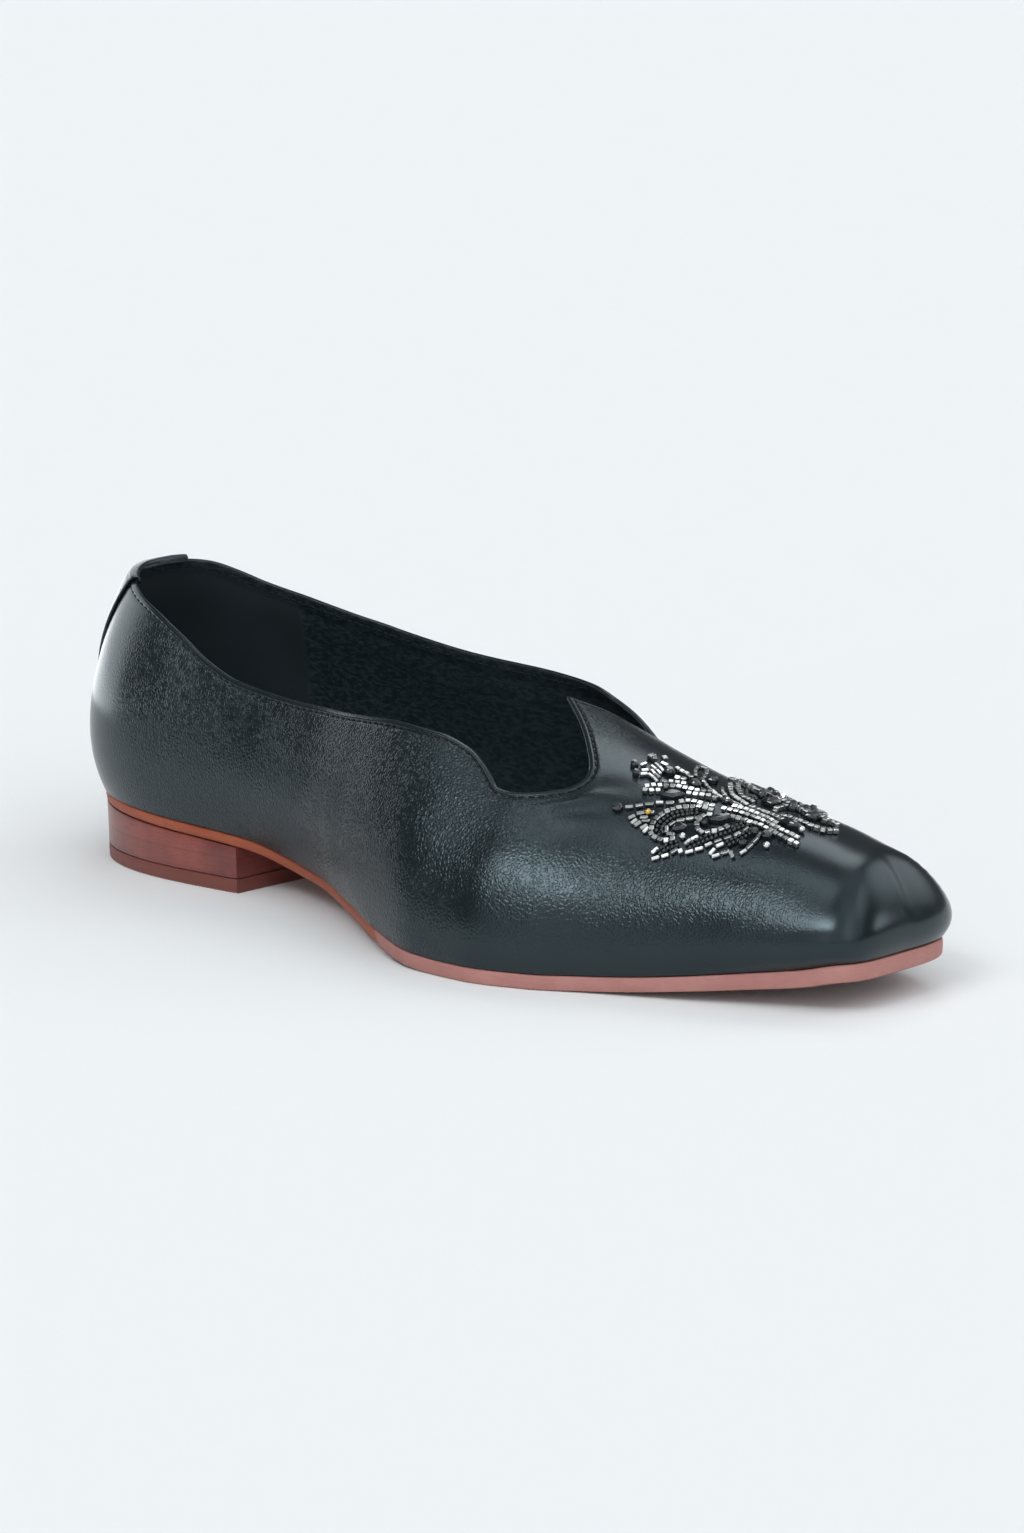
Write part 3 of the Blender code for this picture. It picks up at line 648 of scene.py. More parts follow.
def inset(distance):  # pattern places a set way below the collar, mitred under the peak
    places = settle(rimSkin - rimPast * distance, tops)
    middle = []
    for way in (-1, 1):
        offs = places[(peak + way * np.arange(upper["peakColumns"])) % len(tops)]
        lean = way * (offs[:, 1] - ridgeY(offs[:, 0]))
        clear = next(j for j in range(1, len(lean)) if np.all(lean[j:] > upper["peakClear"]))
        a, b = lean[clear - 1], lean[clear]
        share = np.clip(-a / (b - a), 0.0, 1.0) if clear > 1 else 0.0
        middle.append((clear, offs[clear - 1][0] + (offs[clear][0] - offs[clear - 1][0]) * share))
    x = max(places[peak, 0], 0.5 * (middle[0][1] + middle[1][1]))
    centre = np.array([x, ridgeY(x)])
    for way, (clear, _) in zip((-1, 1), middle):
        far = places[(peak + way * clear) % len(tops)].copy()
        for j in range(clear):
            places[(peak + way * j) % len(tops)] = centre + (far - centre) * (j / clear)
    return places


def creaseLift(points):  # soft listed ridges and troughs, and the slow unevenness of hide
    lift = np.zeros(points.shape[:-1])
    flat = points.reshape(-1, 3)
    for path, height, width in upper["creases"]:
        line = skinAt(patternAt(*smoothLine(path, 40).T))
        away = np.linalg.norm(flat[:, None, :] - line[None, :, :], axis=-1)
        fade = np.sin(np.pi * np.linspace(0.05, 0.95, len(line)))[away.argmin(axis=1)]
        lift += (height * fade * np.exp(-(away.min(axis=1) / width) ** 2)).reshape(lift.shape)
    slow = [sum(noise.noise(Vector(p) / wave) * height for wave, height in upper["hide"]) for p in flat]
    return lift + np.array(slow).reshape(lift.shape)


def layRows(shelf):  # pattern places of the outer rows, spaced on the skin and closer at both ends
    share = np.linspace(0.0, 1.0, upper["outerRows"] + 1)
    climb = share - upper["crowding"] * np.sin(2.0 * np.pi * share)
    fine = np.linspace(0.0, 1.0, 81)
    rows = np.zeros((len(feet), len(climb), 2))
    for c, (foot, top) in enumerate(zip(feet, shelf)):
        path = foot + (top - foot) * fine[:, None]
        length = arcLength(skinAt(path))
        rows[c] = foot + (top - foot) * np.interp(climb * length[-1], length, fine)[:, None]
    return share, rows


def grainAt(points):  # full on the quarters, faint at the heel's back, over the vamp and at the tip
    def rise(value, zone, low=0.0):
        start, run = upper["grain"][zone]
        return np.clip((value - start) / run, low, 1.0)

    x, z = points[..., 0] / grade, points[..., 2] / grade
    tip, tipRun = upper["grain"]["tip"]
    toe = np.clip((tip - x) / tipRun, 0.10, 1.0)
    vamp = rise(x, "vamp") * rise(z, "vampTop")
    return rise(x, "heel", 0.15) * toe * (1.0 - 0.5 * rise(x, "front")) * (1.0 - 0.75 * vamp)


def buildUpper():
    share, places = layRows(inset(upper["shelf"]))
    skin, out = skinAt(places), normalAt(places)
    low, high = upper["creaseFade"]
    fadeIn = np.minimum(1.0, np.minimum(share / low, (1.0 - share) / high))[None, :]
    outer = skin + out * (creaseLift(skin) * fadeIn)[..., None]
    edge = []
    for below, depth in upper["edge"]:
        spot = inset(below)
        edge.append(skinAt(spot) - depth * normalAt(spot))
    edge = np.stack(edge, axis=1)
    pick = np.linspace(len(share) - 1, 0, upper["innerRows"] + 1).round().astype(int)
    seam = upper["gripEnd"] * grade + upper["gripLean"] * (skin[..., 2] - upper["gripMid"])
    grip = 0.5 - 0.5 * np.tanh((places[..., 0] - seam) / upper["gripSoft"])
    near = np.clip((share - upper["skiveFrom"]) / (1.0 - upper["skiveFrom"]), 0.0, 1.0)[None, :]
    depth = wall - upper["thinned"] * near * near * (3.0 - 2.0 * near)  # skived towards the collar
    inner = (skin - out * (depth + upper["gripStep"] * (grip - 1.0) * fadeIn)[..., None])[:, pick]
    inner[:, -1, 2] = seat(inner[:, -1, 0])
    points = np.concatenate([outer, edge, inner, outer[:, :1]], axis=1)
    points = np.concatenate([points, points[:1]], axis=0)
    edgeRow = len(share)
    innerRow = edgeRow + len(upper["edge"])
    marks = {"grain": grainAt(points), "grip": np.zeros(points.shape[:2])}
    marks["grain"][:, edgeRow + upper["smoothFrom"]:innerRow] *= 0.25
    marks["grip"][:-1, innerRow:innerRow + len(pick)] = grip[:, pick]
    marks["grip"][-1] = marks["grip"][0]
    bm = mappedGrid(toRow(points), marks, edgeRow + upper["liningFrom"])
    finishPiece(bm, "upperShell", [finishes["upper"], finishes["lining"]], "upper")


buildUpper()


# Stitches in the channel under the collar, outside and inside
stitch = {"pitch": 2.55, "half": (0.8, 0.25, 0.19), "look": 0.6,
          "lines": ((1.82, 0.15), (2.6, 1.53))}  # below the rim, into the wall


def buildStitches():
    bm = bmesh.new()
    lying = Matrix.Rotation(math.pi / 2.0, 4, "Y")
    bmesh.ops.create_uvsphere(bm, u_segments=8, v_segments=6, radius=1.0, matrix=lying)
    protos = {"stitch": shapeOf(bm)}
    copies = []
    for below, sunk in stitch["lines"]:
        spot = inset(below)
        spot = np.concatenate([spot, spot[:1]])
        skin = skinAt(spot)
        length = arcLength(skin)
        count = int(length[-1] / stitch["pitch"])
        at = (np.arange(count) + 0.5) * length[-1] / count
        x, y = pointAt(length, spot, at).T
        run = pointAt(length, skin, at + stitch["look"]) - pointAt(length, skin, at - stitch["look"])
        out = lastNormal(x, y)
        run = unit(run - out * (run * out).sum(-1, keepdims=True))
        side = np.cross(out, run)
        spread = np.random.default_rng(5).uniform(0.0, 1.0, count)
        for k in range(count):
            axes = np.stack([run[k], side[k], out[k]]) * np.array(stitch["half"])[:, None]
            copies.append(("stitch", axes, lastPoint(x[k], y[k]) - out[k] * sunk, 0, spread[k]))
    joinCopies("collarStitches", protos, copies, [finishes["thread"]], None)


buildStitches()


# Sole, heel and insole slabs: a ring of points round the section at each station
soles = {
    "scarfTop": 139.0 * grade, "slant": 4.0, "heelLength": 70.0 * grade, "topPiece": 4.0, "insole": 2.0,
    "forefoot": [  # share of the height, outset from the feather line
        (0.0, -0.45), (0.06, -0.12), (0.16, 0.04), (0.5, 0.14), (0.84, 0.10), (0.95, -0.04), (1.0, -0.32)],
    "waist": [(0.0, -1.25), (0.1, -0.75), (0.5, -0.52), (0.86, -0.5), (0.95, -0.62), (1.0, -0.95)],
    "block": [(0.0, -1.22), (0.03, -1.08), (0.5, -0.98), (0.97, -0.82), (1.0, -0.95)],
    "lift": [(0.0, -1.55), (0.1, -1.2), (0.5, -1.08), (0.93, -1.1), (1.0, -1.25)],
    "sock": [(0.0, -0.5), (0.7, -0.5), (0.93, -0.62), (1.0, -0.95)],  # from inside the wall
    "forefootTeeth": 0.5, "liftTeeth": 0.16, "crowding": 1.12,
    "inward": (0.95, 0.8, 0.5, 0.2, 0.0), "capShares": (0.0, 0.25, 0.6, 0.9), "treadFacing": -0.6,
}


def capRows(column):  # rows that close an end, from its middle outwards
    centre = column.copy()
    centre[..., 1] = 0.5 * (column[..., 1].min() + column[..., 1].max())
    return [centre + (column - centre) * f for f in soles["capShares"]]


def slabGrid(section, ends, top, bottom, stations, cap=None, teeth=0.0):
    spread = np.arange(stations + 1) / stations
    rims = {-1.0: [], 1.0: []}
    for height, outset in section:
        start, stop = ends(height)
        u = start + (stop - start) * (spread ** soles["crowding"] if start <= 0.0 else spread)
        for side in rims:
            x, y = offsetOutline(side, u, outset)
            rims[side].append(np.stack([x, y, bottom(x) + (top(x) - bottom(x)) * height], -1))
    lateral, medial = rims[-1.0], rims[1.0]
    for rim in (lateral, medial):
        rim[0][1::2, 2] += teeth
    low, high = (lateral[0] + medial[0]) / 2.0, (lateral[-1] + medial[-1]) / 2.0
    inward = soles["inward"]
    ring = [low + (lateral[0] - low) * f for f in inward[::-1]] + lateral
    ring += [high + (lateral[-1] - high) * f for f in inward]
    ring += [high + (medial[-1] - high) * f for f in inward[-2::-1]] + medial[::-1]
    ring += [low + (medial[0] - low) * f for f in inward]
    points = np.stack(ring, axis=1)
    if cap == "start":
        points = np.concatenate(capRows(points[:1]) + [points])
    if cap == "stop":
        points = np.concatenate([points] + capRows(points[-1:])[::-1])
    return toRow(points)


def soleTop(x):
    return seat(x) - gap


def soleBottom(x):
    return np.maximum(seat(x) - gap - soleThick(x), 0.0)


def level(z):
    return lambda x: np.full_like(np.asarray(x, float), z)


def scarfRun(height, clear=0.0):  # where the slanted joint of the two soles lies
    return runAt(soles["scarfTop"] + clear + soles["slant"] * (1.0 - height))


def addSlab(name, grid, finish, node, sharp, marks=None, trodden=False):
    materials = [finishes[finish]] + ([finishes["tread"]] if trodden else [])
    piece = finishPiece(mappedGrid(grid, marks), name, materials, node, sharp)
    for p in piece.data.polygons if trodden else []:
        if p.normal.z < soles["treadFacing"]:  # faces that look down take the tread
            p.material_index = 1


def buildSoles():
    grid = slabGrid(soles["forefoot"], lambda k: (scarfRun(k, gap), 1.0), soleTop, soleBottom,
                    300, "start", soles["forefootTeeth"])
    addSlab("forefootSole", grid, "forefoot", "sole_forefoot", 50, trodden=True)
    grid = slabGrid(soles["waist"], lambda k: (0.0, scarfRun(k)), soleTop, soleBottom, 150, "stop")
    addSlab("waistSole", grid, "waist", "sole_waist", 50)
    heelEnd = runAt(soles["heelLength"])
    grid = slabGrid(soles["block"], lambda k: (0.0, heelEnd), lambda x: soleBottom(x) - gap,
                    level(soles["topPiece"] + gap), 70, "stop")
    addSlab("heelBlock", grid, "stack", "heel_block", 40)
    grid = slabGrid(soles["lift"], lambda k: (0.0, heelEnd), level(soles["topPiece"]), level(0.0),
                    140, "stop", soles["liftTeeth"])
    addSlab("heelTopPiece", grid, "topPiece", "heel_top_piece", 40, trodden=True)
    section = [(height, outset - wall) for height, outset in soles["sock"]]
    grid = slabGrid(section, lambda k: (0.0, 1.0), lambda x: seat(x) + soles["insole"], seat, 120)
    marks = {"grain": np.full(grid.shape[:2], 0.6)}
    addSlab("sockInsole", grid, "insole", "insole", 50, marks)


buildSoles()


# Strip over the back seam, hooked across the collar
tab = {
    "top": {-1.0: 33.0, 1.0: 11.0}, "foot": {-1.0: 17.0, 1.0: 8.0}, "drop": 34.0, "thick": 0.8,
    "columns": 41, "rows": 26, "clear": 0.45, "softEdge": 0.22, "grain": 0.35,
    "footTuck": (0.9, 0.35), "sideTuck": (0.85, 0.25),  # share where it starts, depth
    "hook": [(0.0, -0.5), (0.25, -0.42), (0.42, -0.15), (0.48, 0.4), (0.48, 0.9), (0.4, 1.4),
             (0.05, 1.8), (-1.2, 2.0)],  # up from the rim, inwards over it
}


def tuckedBy(share, start, depth):
    return depth * max(0.0, share - start) / (1.0 - start)


def tabPoint(side, part, half, down):  # skin and outward normal under a place of the strip
    rimZ = fromRows(upper["lateralRim"], 1)
    fx, fy = outline(side, part * half / wholeRun)
    x, y = alongRib(side, fx, shareAtHeight(side, fx, rimZ(fx) - down))
    return lastPoint(x, y), lastNormal(x, y)


def buildTab():
    columns = []
    for across in np.linspace(-1.0, 1.0, tab["columns"]):
        side = -1.0 if across < 0.0 else 1.0
        part, top, foot = abs(across), tab["top"][side], tab["foot"][side]
        line = []
        for drop in np.linspace(1.0, 0.03, tab["rows"]):
            skin, out = tabPoint(side, part, top + (foot - top) * drop, tab["drop"] * drop)
            tuck = tuckedBy(drop, *tab["footTuck"]) + tuckedBy(part, *tab["sideTuck"])
            line.append(skin + out * (gap + tab["clear"] * (1.0 - tuck)))
        skin, out = tabPoint(side, part, top, 0.0)
        over = unit(out * np.array([1.0, 1.0, 0.0]))
        for up, into in tab["hook"]:
            line.append(skin - over * into + np.array([0.0, 0.0, up]))
        columns.append(line)
    points = toRow(np.array(columns))
    bm = mappedGrid(points, {"grain": np.full(points.shape[:2], tab["grain"])})
    piece = finishPiece(bm, "backTab", [finishes["upper"]], "back_tab")
    body = piece.modifiers.new("thickness", "SOLIDIFY")
    body.thickness, body.offset = tab["thick"] * 0.001, 0.0
    soft = piece.modifiers.new("softEdge", "BEVEL")
    soft.width, soft.segments, soft.limit_method = tab["softEdge"] * 0.001, 2, "ANGLE"


buildTab()


# Bead spray on the vamp, charted on the pattern: silver cuts and bugles, jet seeds, dark stones
spray = {
    "cut": (1.42, 1.34, 1.28), "bugle": (2.15, 1.02, 0.98), "seed": (1.15, 1.15, 1.0), "ball": 0.95,
    "pitch": {"cut": 1.64, "bugle": 2.38, "seed": 1.16}, "rows": {"cut": 1, "bugle": 1, "seed": 2},
    "bevel": {"cut": 0.17, "bugle": 0.2}, "between": 0.12, "spin": 0.09, "tilt": 0.10,
    "stoneTall": 1.9, "stoneSeat": 0.62, "stoneSteps": ((0.12, 0.28), (0.13, 0.17)),
    "leafTaper": (0.78, 1.7),
    "mirrorLine": -1.5, "mirrorShare": 0.86, "mirrorBelow": -8.0, "mirrorFrom": 209.0,
    "strands": [  # kind, plan path
        ("bugle", [(200.2, -22.3), (202.5, -20.2), (205, -17.5), (208, -15.1), (209.3, -14.2)]),  # sprig
        ("cut", [(210, -13.8), (212.2, -11.7), (215.4, -10.6), (218, -9.6)]),
        ("cut", [(218.9, -11.2), (216.2, -11.7), (213.3, -13.3), (211.3, -15.3), (209.4, -18), (209, -20.8),
                 (209.6, -22.9), (211, -23.7), (213.9, -23.2), (216.4, -21.6)]),  # paisley
        ("seed", [(216, -13.1), (213.1, -15.6), (211.2, -18), (210.7, -20.5), (211.4, -22.1),
                  (212.6, -22.4)]),
        ("bugle", [(218, -13.9), (215.5, -16.4), (213.4, -18.3), (212.5, -20.5), (213.8, -21.5),
                   (215.5, -21)]),
        ("cut", [(199.9, -15), (201.9, -12.7), (204.9, -10), (208.3, -8.3), (211.2, -7),
                 (213.3, -5)]),  # leaf
        ("cut", [(200.3, -16.2), (202, -15), (203.9, -13.1)]),
        ("cut", [(201.7, -10.8), (204, -8.7), (206.7, -7.1)]),
        ("cut", [(209, -10.2), (212.2, -8.3), (216.1, -6.4)]),
        ("bugle", [(194.7, -7.6), (194.1, -10.4)]),  # fan
        ("bugle", [(196.7, -9.2), (195.4, -11.6)]),
        ("bugle", [(201, -11.3), (198, -10.8), (196.3, -12.4)]),
        ("bugle", [(200.3, -9.9), (197.1, -9.4)]),
        ("bugle", [(199.7, -8.5), (195.8, -7.9)]),
        ("bugle", [(199.3, -7.2), (195.5, -6.2)]),
        ("bugle", [(198.5, -4.1), (195.6, -4.7)]),
        ("cut", [(193.3, -5.9), (192.9, -4), (194.6, -5.3)]),
        ("cut", [(195.2, -3.6), (195.5, -1.6)]),
        ("cut", [(199.8, -3.6), (202.5, -3.5), (205.4, -3.8)]),
        ("cut", [(202.5, -7), (205.4, -5.8)]),
        ("bugle", [(205.1, -2.2), (202.7, 0.7), (201.6, 3.3), (202.2, 4.6), (204.5, 2.5), (206.8, -1)]),
        ("bugle", [(206.7, -1.8), (209.6, -3.4), (214.3, -5.1), (218.8, -6)]),
        ("bugle", [(207.2, -19), (204.7, -20.9), (202.7, -23.8)]),  # short rows
        ("bugle", [(206.9, -20.7), (204.9, -22.5), (204.1, -24.4)]),
        ("bugle", [(207.7, -21.2), (205.8, -22.7), (205.4, -24.2)]),
        ("bugle", [(208.1, -22.1), (206.9, -24.2)]),
        ("bugle", [(208.5, -22.8), (208.4, -24)]),
        ("cut", [(219.8, -12.6), (218.3, -13.3), (218.1, -15.4), (219.5, -17.4), (221, -17.8),
                 (223.2, -16.4), (225, -14.4), (225.5, -13)]),  # inner loop
        ("bugle", [(213.5, -27.1), (216.4, -25.1), (218.5, -22.9)]),  # petals along the near edge
        ("bugle", [(213.1, -26.6), (213.7, -24.4)]),
        ("seed", [(214.1, -25.8), (215.5, -23.7), (217.6, -21.9)]),
        ("cut", [(219.9, -23.5), (218.7, -22.8)]),
        ("bugle", [(219.3, -21.6), (219.8, -20.2), (220.9, -18.8)]),
        ("bugle", [(220.4, -23), (223.1, -20.8), (225.2, -18.3), (227.4, -15.9), (229.2, -13.1),
                   (229.9, -10.8)]),
        ("seed", [(220, -21.8), (222.7, -18.4), (225.7, -14.6), (227.9, -11), (228.5, -9.7)]),
        ("bugle", [(226.2, -20.8), (226.5, -19.2), (227.7, -17.2)]),
        ("bugle", [(226.9, -20.9), (230.1, -18)]),
        ("seed", [(228.2, -17.2), (229.8, -14.7), (231.3, -10.9)]),
        ("bugle", [(232, -18.9), (230.2, -17.9)]),
        ("bugle", [(233, -17.6), (233.9, -13.8), (233.6, -10.7)]),
        ("cut", [(219.6, -9.3), (224.9, -7.9), (231, -7.4), (236.9, -7.7), (242.5, -7.7)]),  # trunk
        ("cut", [(221.8, -10.9), (227.1, -9.7), (233.1, -9.2), (238.9, -9.4), (243.6, -9.2)]),
        ("cut", [(220.8, -6.8), (226.5, -5.9), (230.5, -5.8), (234.8, -6.4)]),
        ("cut", [(224.1, -4.2), (229.4, -3.9), (234.3, -4)]),
        ("cut", [(232.2, -2.3), (237.6, -1.6), (241.6, -1), (244.1, 0.4), (245.5, 2.9)]),
        ("cut", [(230.1, -2.3), (228.8, 0.8), (228.8, 4.1)]),
        ("cut", [(212.4, 2.1), (215.1, -0.8), (218.1, -3), (223.5, -4.2)]),  # arches
        ("cut", [(213, 4.2), (216.1, 1), (219.6, -1.5), (223.5, -1.8)]),
        ("bugle", [(212.9, -1.4), (215.2, -3.4), (217.7, -4.7), (222.5, -5.4)]),
        ("seed", [(216.2, 2.9), (218.9, 0.4), (222.3, 0.2)]),
        ("cut", [(210.4, 4.2), (210, 6.5), (211.6, 7)]),
        ("cut", [(215.9, 5.4), (218.5, 6), (221.2, 7.3)]),
        ("cut", [(226.1, 3.6), (225, 6.8), (226.3, 7.2)]),
        ("cut", [(234, 3.8), (234, 7), (235, 9.5), (238, 7), (240.6, 3.5)]),
    ],
    "stones": [  # shape, plan place, length, width, turn in degrees
        ("round", (198.9, -23.2), 2.8, 2.5, 45), ("round", (193, -10.7), 2.3, 1.9, 0),
        ("round", (195.4, -12.9), 1.9, 1.6, 0), ("leaf", (207, -12.5), 6.6, 3.0, 41),
        ("round", (200, -6), 3.3, 2.8, 20), ("round", (207.6, -5.2), 3.5, 2.9, 15),
        ("round", (208.7, 0.2), 3.2, 2.8, 60), ("round", (215.3, -19.2), 3.8, 2.4, 45),
        ("round", (219.7, -15.2), 2.2, 2.1, 0), ("leaf", (222.1, -12.4), 6.4, 2.9, 44),
        ("round", (231.6, -15.2), 2.4, 2.2, 60), ("round", (232.2, -11.5), 2.2, 2.0, 60),
        ("round", (235.2, -10.8), 2.9, 2.5, 20), ("leaf", (237, -4.1), 6.2, 3.0, 8),
        ("leaf", (225.4, 2.2), 5.2, 3.4, 35), ("round", (220.6, 4.3), 2.6, 2.2, 30),
        ("round", (230, 4.7), 2.9, 2.4, 40), ("leaf", (237.3, 4), 5.4, 3.0, 55),
    ],
    "balls": [("silver", (217.5, -20.5)), ("silver", (237.3, -13.2)), ("silver", (240.4, -4.4)),
              ("gold", (205.9, -20))],
}


def beadShapes():
    shapes = {}
    for name, bevel in spray["bevel"].items():
        bm = bmesh.new()
        bmesh.ops.create_cube(bm, size=1.0)
        bmesh.ops.scale(bm, vec=spray[name], verts=bm.verts)
        bmesh.ops.bevel(bm, geom=bm.edges[:], offset=bevel, segments=1, profile=0.5, affect="EDGES",
                        material=-1)
        shapes[name] = shapeOf(bm)
    bm = bmesh.new()
    bmesh.ops.create_icosphere(bm, subdivisions=2, radius=0.5)
    bmesh.ops.scale(bm, vec=spray["seed"], verts=bm.verts)
    shapes["seed"] = shapeOf(bm)
    bm = bmesh.new()
    bmesh.ops.create_uvsphere(bm, u_segments=12, v_segments=8, radius=spray["ball"])
    shapes["ball"] = shapeOf(bm)
    for name in ("round", "leaf"):  # cut stones: girdle, crown and table, unit long and wide
        bm = bmesh.new()
        bmesh.ops.create_cone(bm, cap_ends=True, segments=10, radius1=0.5, radius2=0.5, depth=0.5)
        crown = [f for f in bm.faces if f.normal.z > 0.9]
        for size, up in spray["stoneSteps"]:
            bmesh.ops.inset_region(bm, faces=crown, thickness=size, depth=0.0)
            bmesh.ops.translate(bm, vec=(0.0, 0.0, up), verts=list({v for f in crown for v in f.verts}))
        if name == "leaf":
            share, power = spray["leafTaper"]
            for v in bm.verts:
                v.co.y *= 1.0 - share * min(1.0, abs(v.co.x) / 0.5) ** power
        shapes[name] = shapeOf(bm)
    return shapes


def hasTwin(path):  # strands well down the near side are repeated on the far side
    return max(y for x, y in path) < spray["mirrorBelow"] and min(x for x, y in path) > spray["mirrorFrom"]


def flipped(path):
    line, share = spray["mirrorLine"], spray["mirrorShare"]
    return [(x, line + (line - y) * share) for x, y in path]


def vampFrame(plan, way):  # place on the skin with axes along, across and out
    spot = patternAt(plan[..., 0], plan[..., 1])
    skin, out = skinAt(spot), normalAt(spot)
    run = unit(way - out * (way * out).sum(-1, keepdims=True))
    return skin, run, np.cross(out, run), out


def layStrand(kind, path, number, rng):  # beads along a charted line, evenly spaced on the skin
    places = smoothLine(path, 160)
    skin = skinAt(patternAt(*places.T))
    length = arcLength(skin)
    count = max(1, int(round(length[-1] / spray["pitch"][kind])))
    at = (np.arange(count) + 0.5) * length[-1] / count
    way = pointAt(length, skin, at + 0.5) - pointAt(length, skin, at - 0.5)
    skin, along, across, out = vampFrame(pointAt(length, places, at), way)
    wide, tall = spray[kind][1:]
    rows = spray["rows"][kind]
    beads = []
    for row in range(rows):
        aside = (row - (rows - 1) / 2.0) * (wide + spray["between"])
        for k in range(count):
            spin = Matrix.Rotation(rng.normal(0.0, spray["spin"]), 3, "Z")
            tilt = Matrix.Rotation(rng.normal(0.0, spray["tilt"]), 3, "X")
            axes = np.array(spin @ tilt) @ np.stack([along[k], across[k], out[k]])
            axes = axes * rng.uniform(0.93, 1.05)
            place = skin[k] + across[k] * aside + out[k] * (tall / 2.0 + rng.uniform(0.05, 0.22))
            beads.append((kind, axes, place, number, rng.uniform(0.15, 1.0)))
    return beads


def buildSpray():
    rng = np.random.default_rng(11)
    number = {"silver": 0, "jet": 1, "stone": 2, "gold": 3}
    copies = []
    twins = [(kind, flipped(path)) for kind, path in spray["strands"] if hasTwin(path)]
    for kind, path in spray["strands"] + twins:
        copies += layStrand(kind, path, number["jet" if kind == "seed" else "silver"], rng)
    twins = [(shape, flipped([plan])[0], long, wide, -turn)
             for shape, plan, long, wide, turn in spray["stones"] if hasTwin([plan])]
    for shape, plan, long, wide, turn in spray["stones"] + twins:
        way = np.array([math.cos(math.radians(turn)), math.sin(math.radians(turn)), 0.0])
        skin, along, across, out = vampFrame(np.array(plan, float) * grade, way)
        axes = np.stack([along * long, across * wide, out * spray["stoneTall"]])
        copies.append((shape, axes, skin + out * spray["stoneSeat"], number["stone"], rng.uniform(0.2, 1.0)))
    for tint, plan in spray["balls"]:
        skin, along, across, out = vampFrame(np.array(plan, float) * grade, np.array([1.0, 0.0, 0.0]))
        axes = np.stack([along, across, out])
        copies.append(("ball", axes, skin + out * spray["ball"], number[tint], 1.0))
    materials = [finishes[tint] for tint in number]
    joinCopies("beadSpray", beadShapes(), copies, materials, "bead_motif", 28)


buildSpray()


# Stage, light and camera
stage = {
    "floor": (0.83, 0.83, 0.83, 1.0), "floorSize": 60.0,
    "azimuth": 43.5, "elevation": 11.8, "camera": (0.728570, -0.750907, 0.260043),
    "focal": 4000.0, "frameHigh": 1533.0, "sensor": 36.0,
    "base": (0.12, 0.126, 0.13), "tint": (0.955, 1.0, 1.03),
    "lobes": [  # azimuth, elevation, half angle of the core and of the fade, strength
        (-6, 43, 3, 11, 5.8),
        (6, 43, 3, 9, 5.6),
        (17, 43, 3, 9, 6.3),
        (45, 25, 15, 45, 0.7),
        (80, 26, 10, 32, 0.7),
        (5, 10, 6, 24, 0.55),
        (100, 70, 12, 36, 0.6),
        (-25, 68, 5, 14, 2.2),
        (-150, 58, 8, 17, 2.6),
        (157, 34, 8, 26, 1.7),
        (131, 12, 3, 8, 2.9),
        (112, 44, 5, 18, 0.9),
    ],
    "card": {"place": (-0.17, -0.005, 0.09), "way": (0.17, 0.0, -0.01), "size": 0.10, "power": 0.055},
    "fill": {"way": (-0.587, 0.492, -0.643), "angle": 70.0, "strength": 0.92},
}


def roomWay(azimuth, elevation):  # azimuth counted from the lateral side towards the toe
    a, e = math.radians(azimuth), math.radians(elevation)
    return Vector((math.sin(a) * math.cos(e), -math.cos(a) * math.cos(e), math.sin(e)))


def buildFloor():
    bm = bmesh.new()
    bmesh.ops.create_grid(bm, x_segments=8, y_segments=8, size=stage["floorSize"])
    mesh = bpy.data.meshes.new("paleFloor")
    bm.to_mesh(mesh)
    bm.free()
    paper, tree, shader = newMaterial("palePaper")
    feed(tree, shader, {"Base Color": stage["floor"], "Roughness": 1.0, "Specular IOR Level": 0.0})
    mesh.materials.append(paper)
    addToScene("paleFloor", mesh)


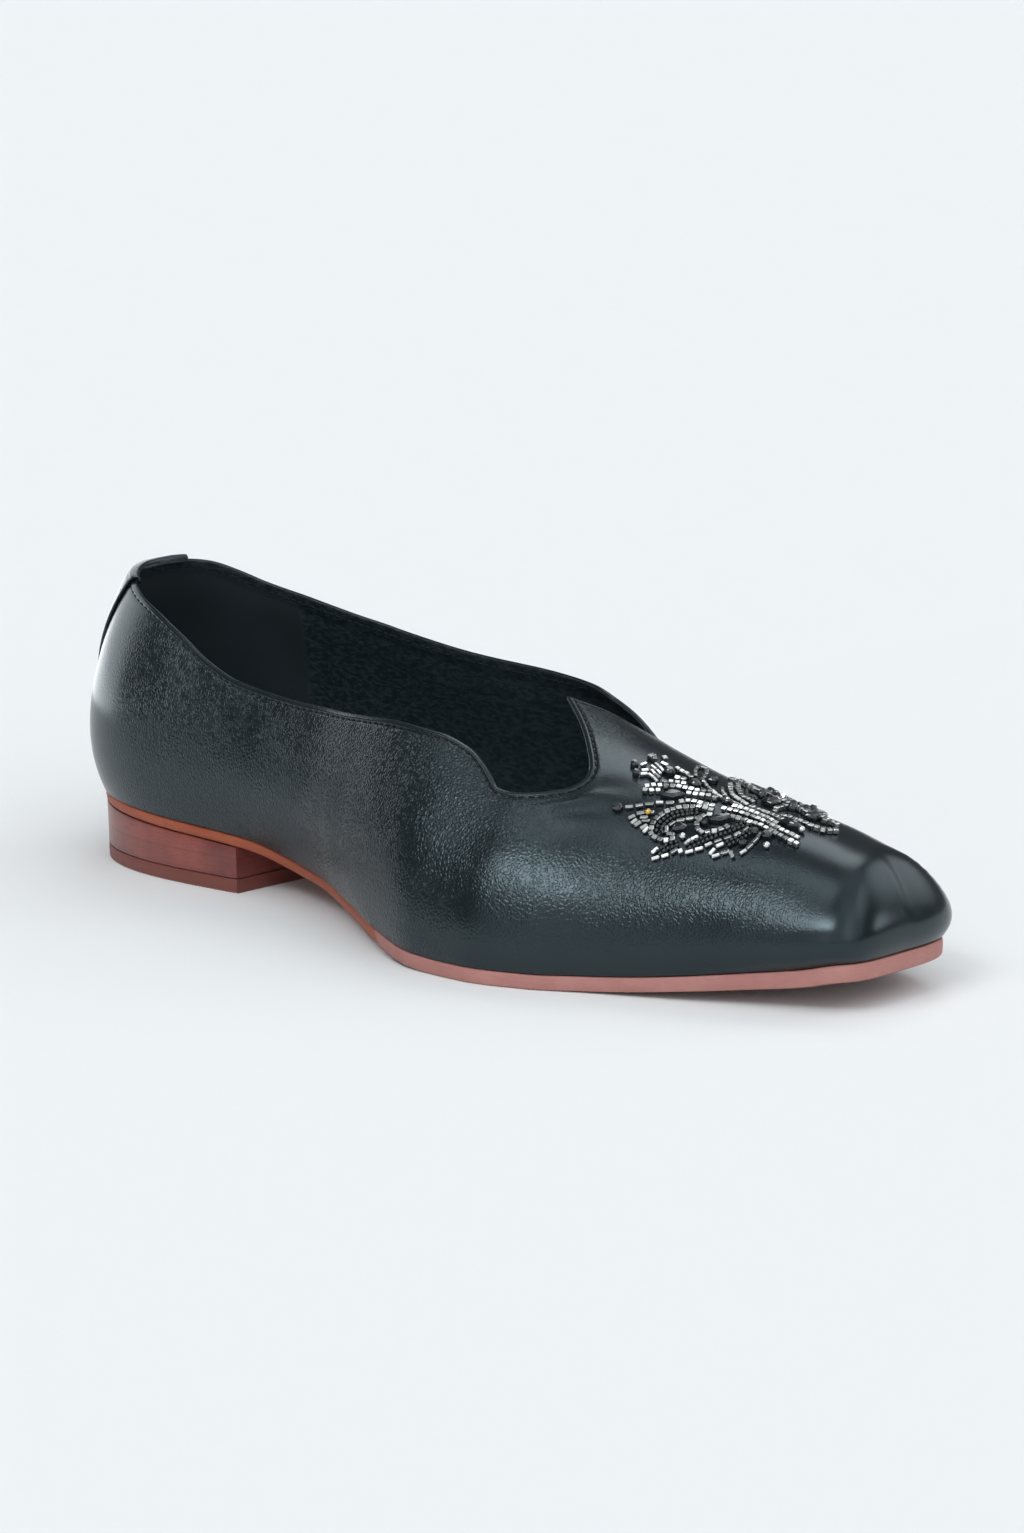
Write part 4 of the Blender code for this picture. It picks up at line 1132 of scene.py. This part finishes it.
def buildRoom():  # dim room with soft bright places
    world = bpy.data.worlds.new("softRoom")
    world.use_nodes = True
    tree = world.node_tree
    total = stage["base"]
    way = addNode(tree, "ShaderNodeTexCoord").outputs["Generated"]
    for azimuth, elevation, core, fade, strength in stage["lobes"]:
        inputs = {0: way, 1: roomWay(azimuth, elevation)}
        facing = addNode(tree, "ShaderNodeVectorMath", inputs, operation="DOT_PRODUCT").outputs["Value"]
        low, high = math.cos(math.radians(fade)), math.cos(math.radians(core))
        inputs = {0: stage["tint"], 3: ramped(tree, facing, low, high, 0.0, strength)}
        glow = addNode(tree, "ShaderNodeVectorMath", inputs, operation="SCALE").outputs[0]
        total = vectorMaths(tree, "ADD", total, glow)
    feed(tree, tree.nodes["Background"], {"Color": total})
    bpy.context.scene.world = world
    bpy.context.scene.view_settings.view_transform = "Standard"


def addLamp(name, kind, strength, way, place=(0.0, 0.0, 0.0)):
    light = bpy.data.lights.new(name, kind)
    light.energy, light.color = strength, stage["tint"]
    lamp = addToScene(name, light)
    turn = Vector(way).to_track_quat("-Z", "Y").to_matrix().to_4x4()
    lamp.matrix_world = Matrix.Translation(place) @ turn
    lamp.visible_camera = False
    return lamp


def buildLamps():
    card, fill = stage["card"], stage["fill"]
    lamp = addLamp("heelCard", "AREA", card["power"], card["way"], card["place"])
    lamp.data.size = card["size"]
    lamp.visible_diffuse = False
    lamp = addLamp("frontFill", "SUN", fill["strength"], fill["way"])
    lamp.data.angle = math.radians(fill["angle"])
    lamp.visible_glossy = False


def buildCamera():
    a = math.radians(stage["azimuth"])
    right = Vector((math.cos(a), math.sin(a), 0.0))
    back = roomWay(stage["azimuth"], stage["elevation"])
    turn = Matrix((right, back.cross(right), back)).transposed().to_4x4()
    camera = addToScene("photoCamera", bpy.data.cameras.new("photoCamera"))
    camera.data.sensor_width = stage["sensor"]
    camera.data.lens = stage["focal"] / stage["frameHigh"] * stage["sensor"]
    camera.data.clip_end = 300.0
    camera.matrix_world = Matrix.Translation(stage["camera"]) @ turn
    bpy.context.scene.camera = camera


buildFloor()
buildRoom()
buildLamps()
buildCamera()
print("stage set")
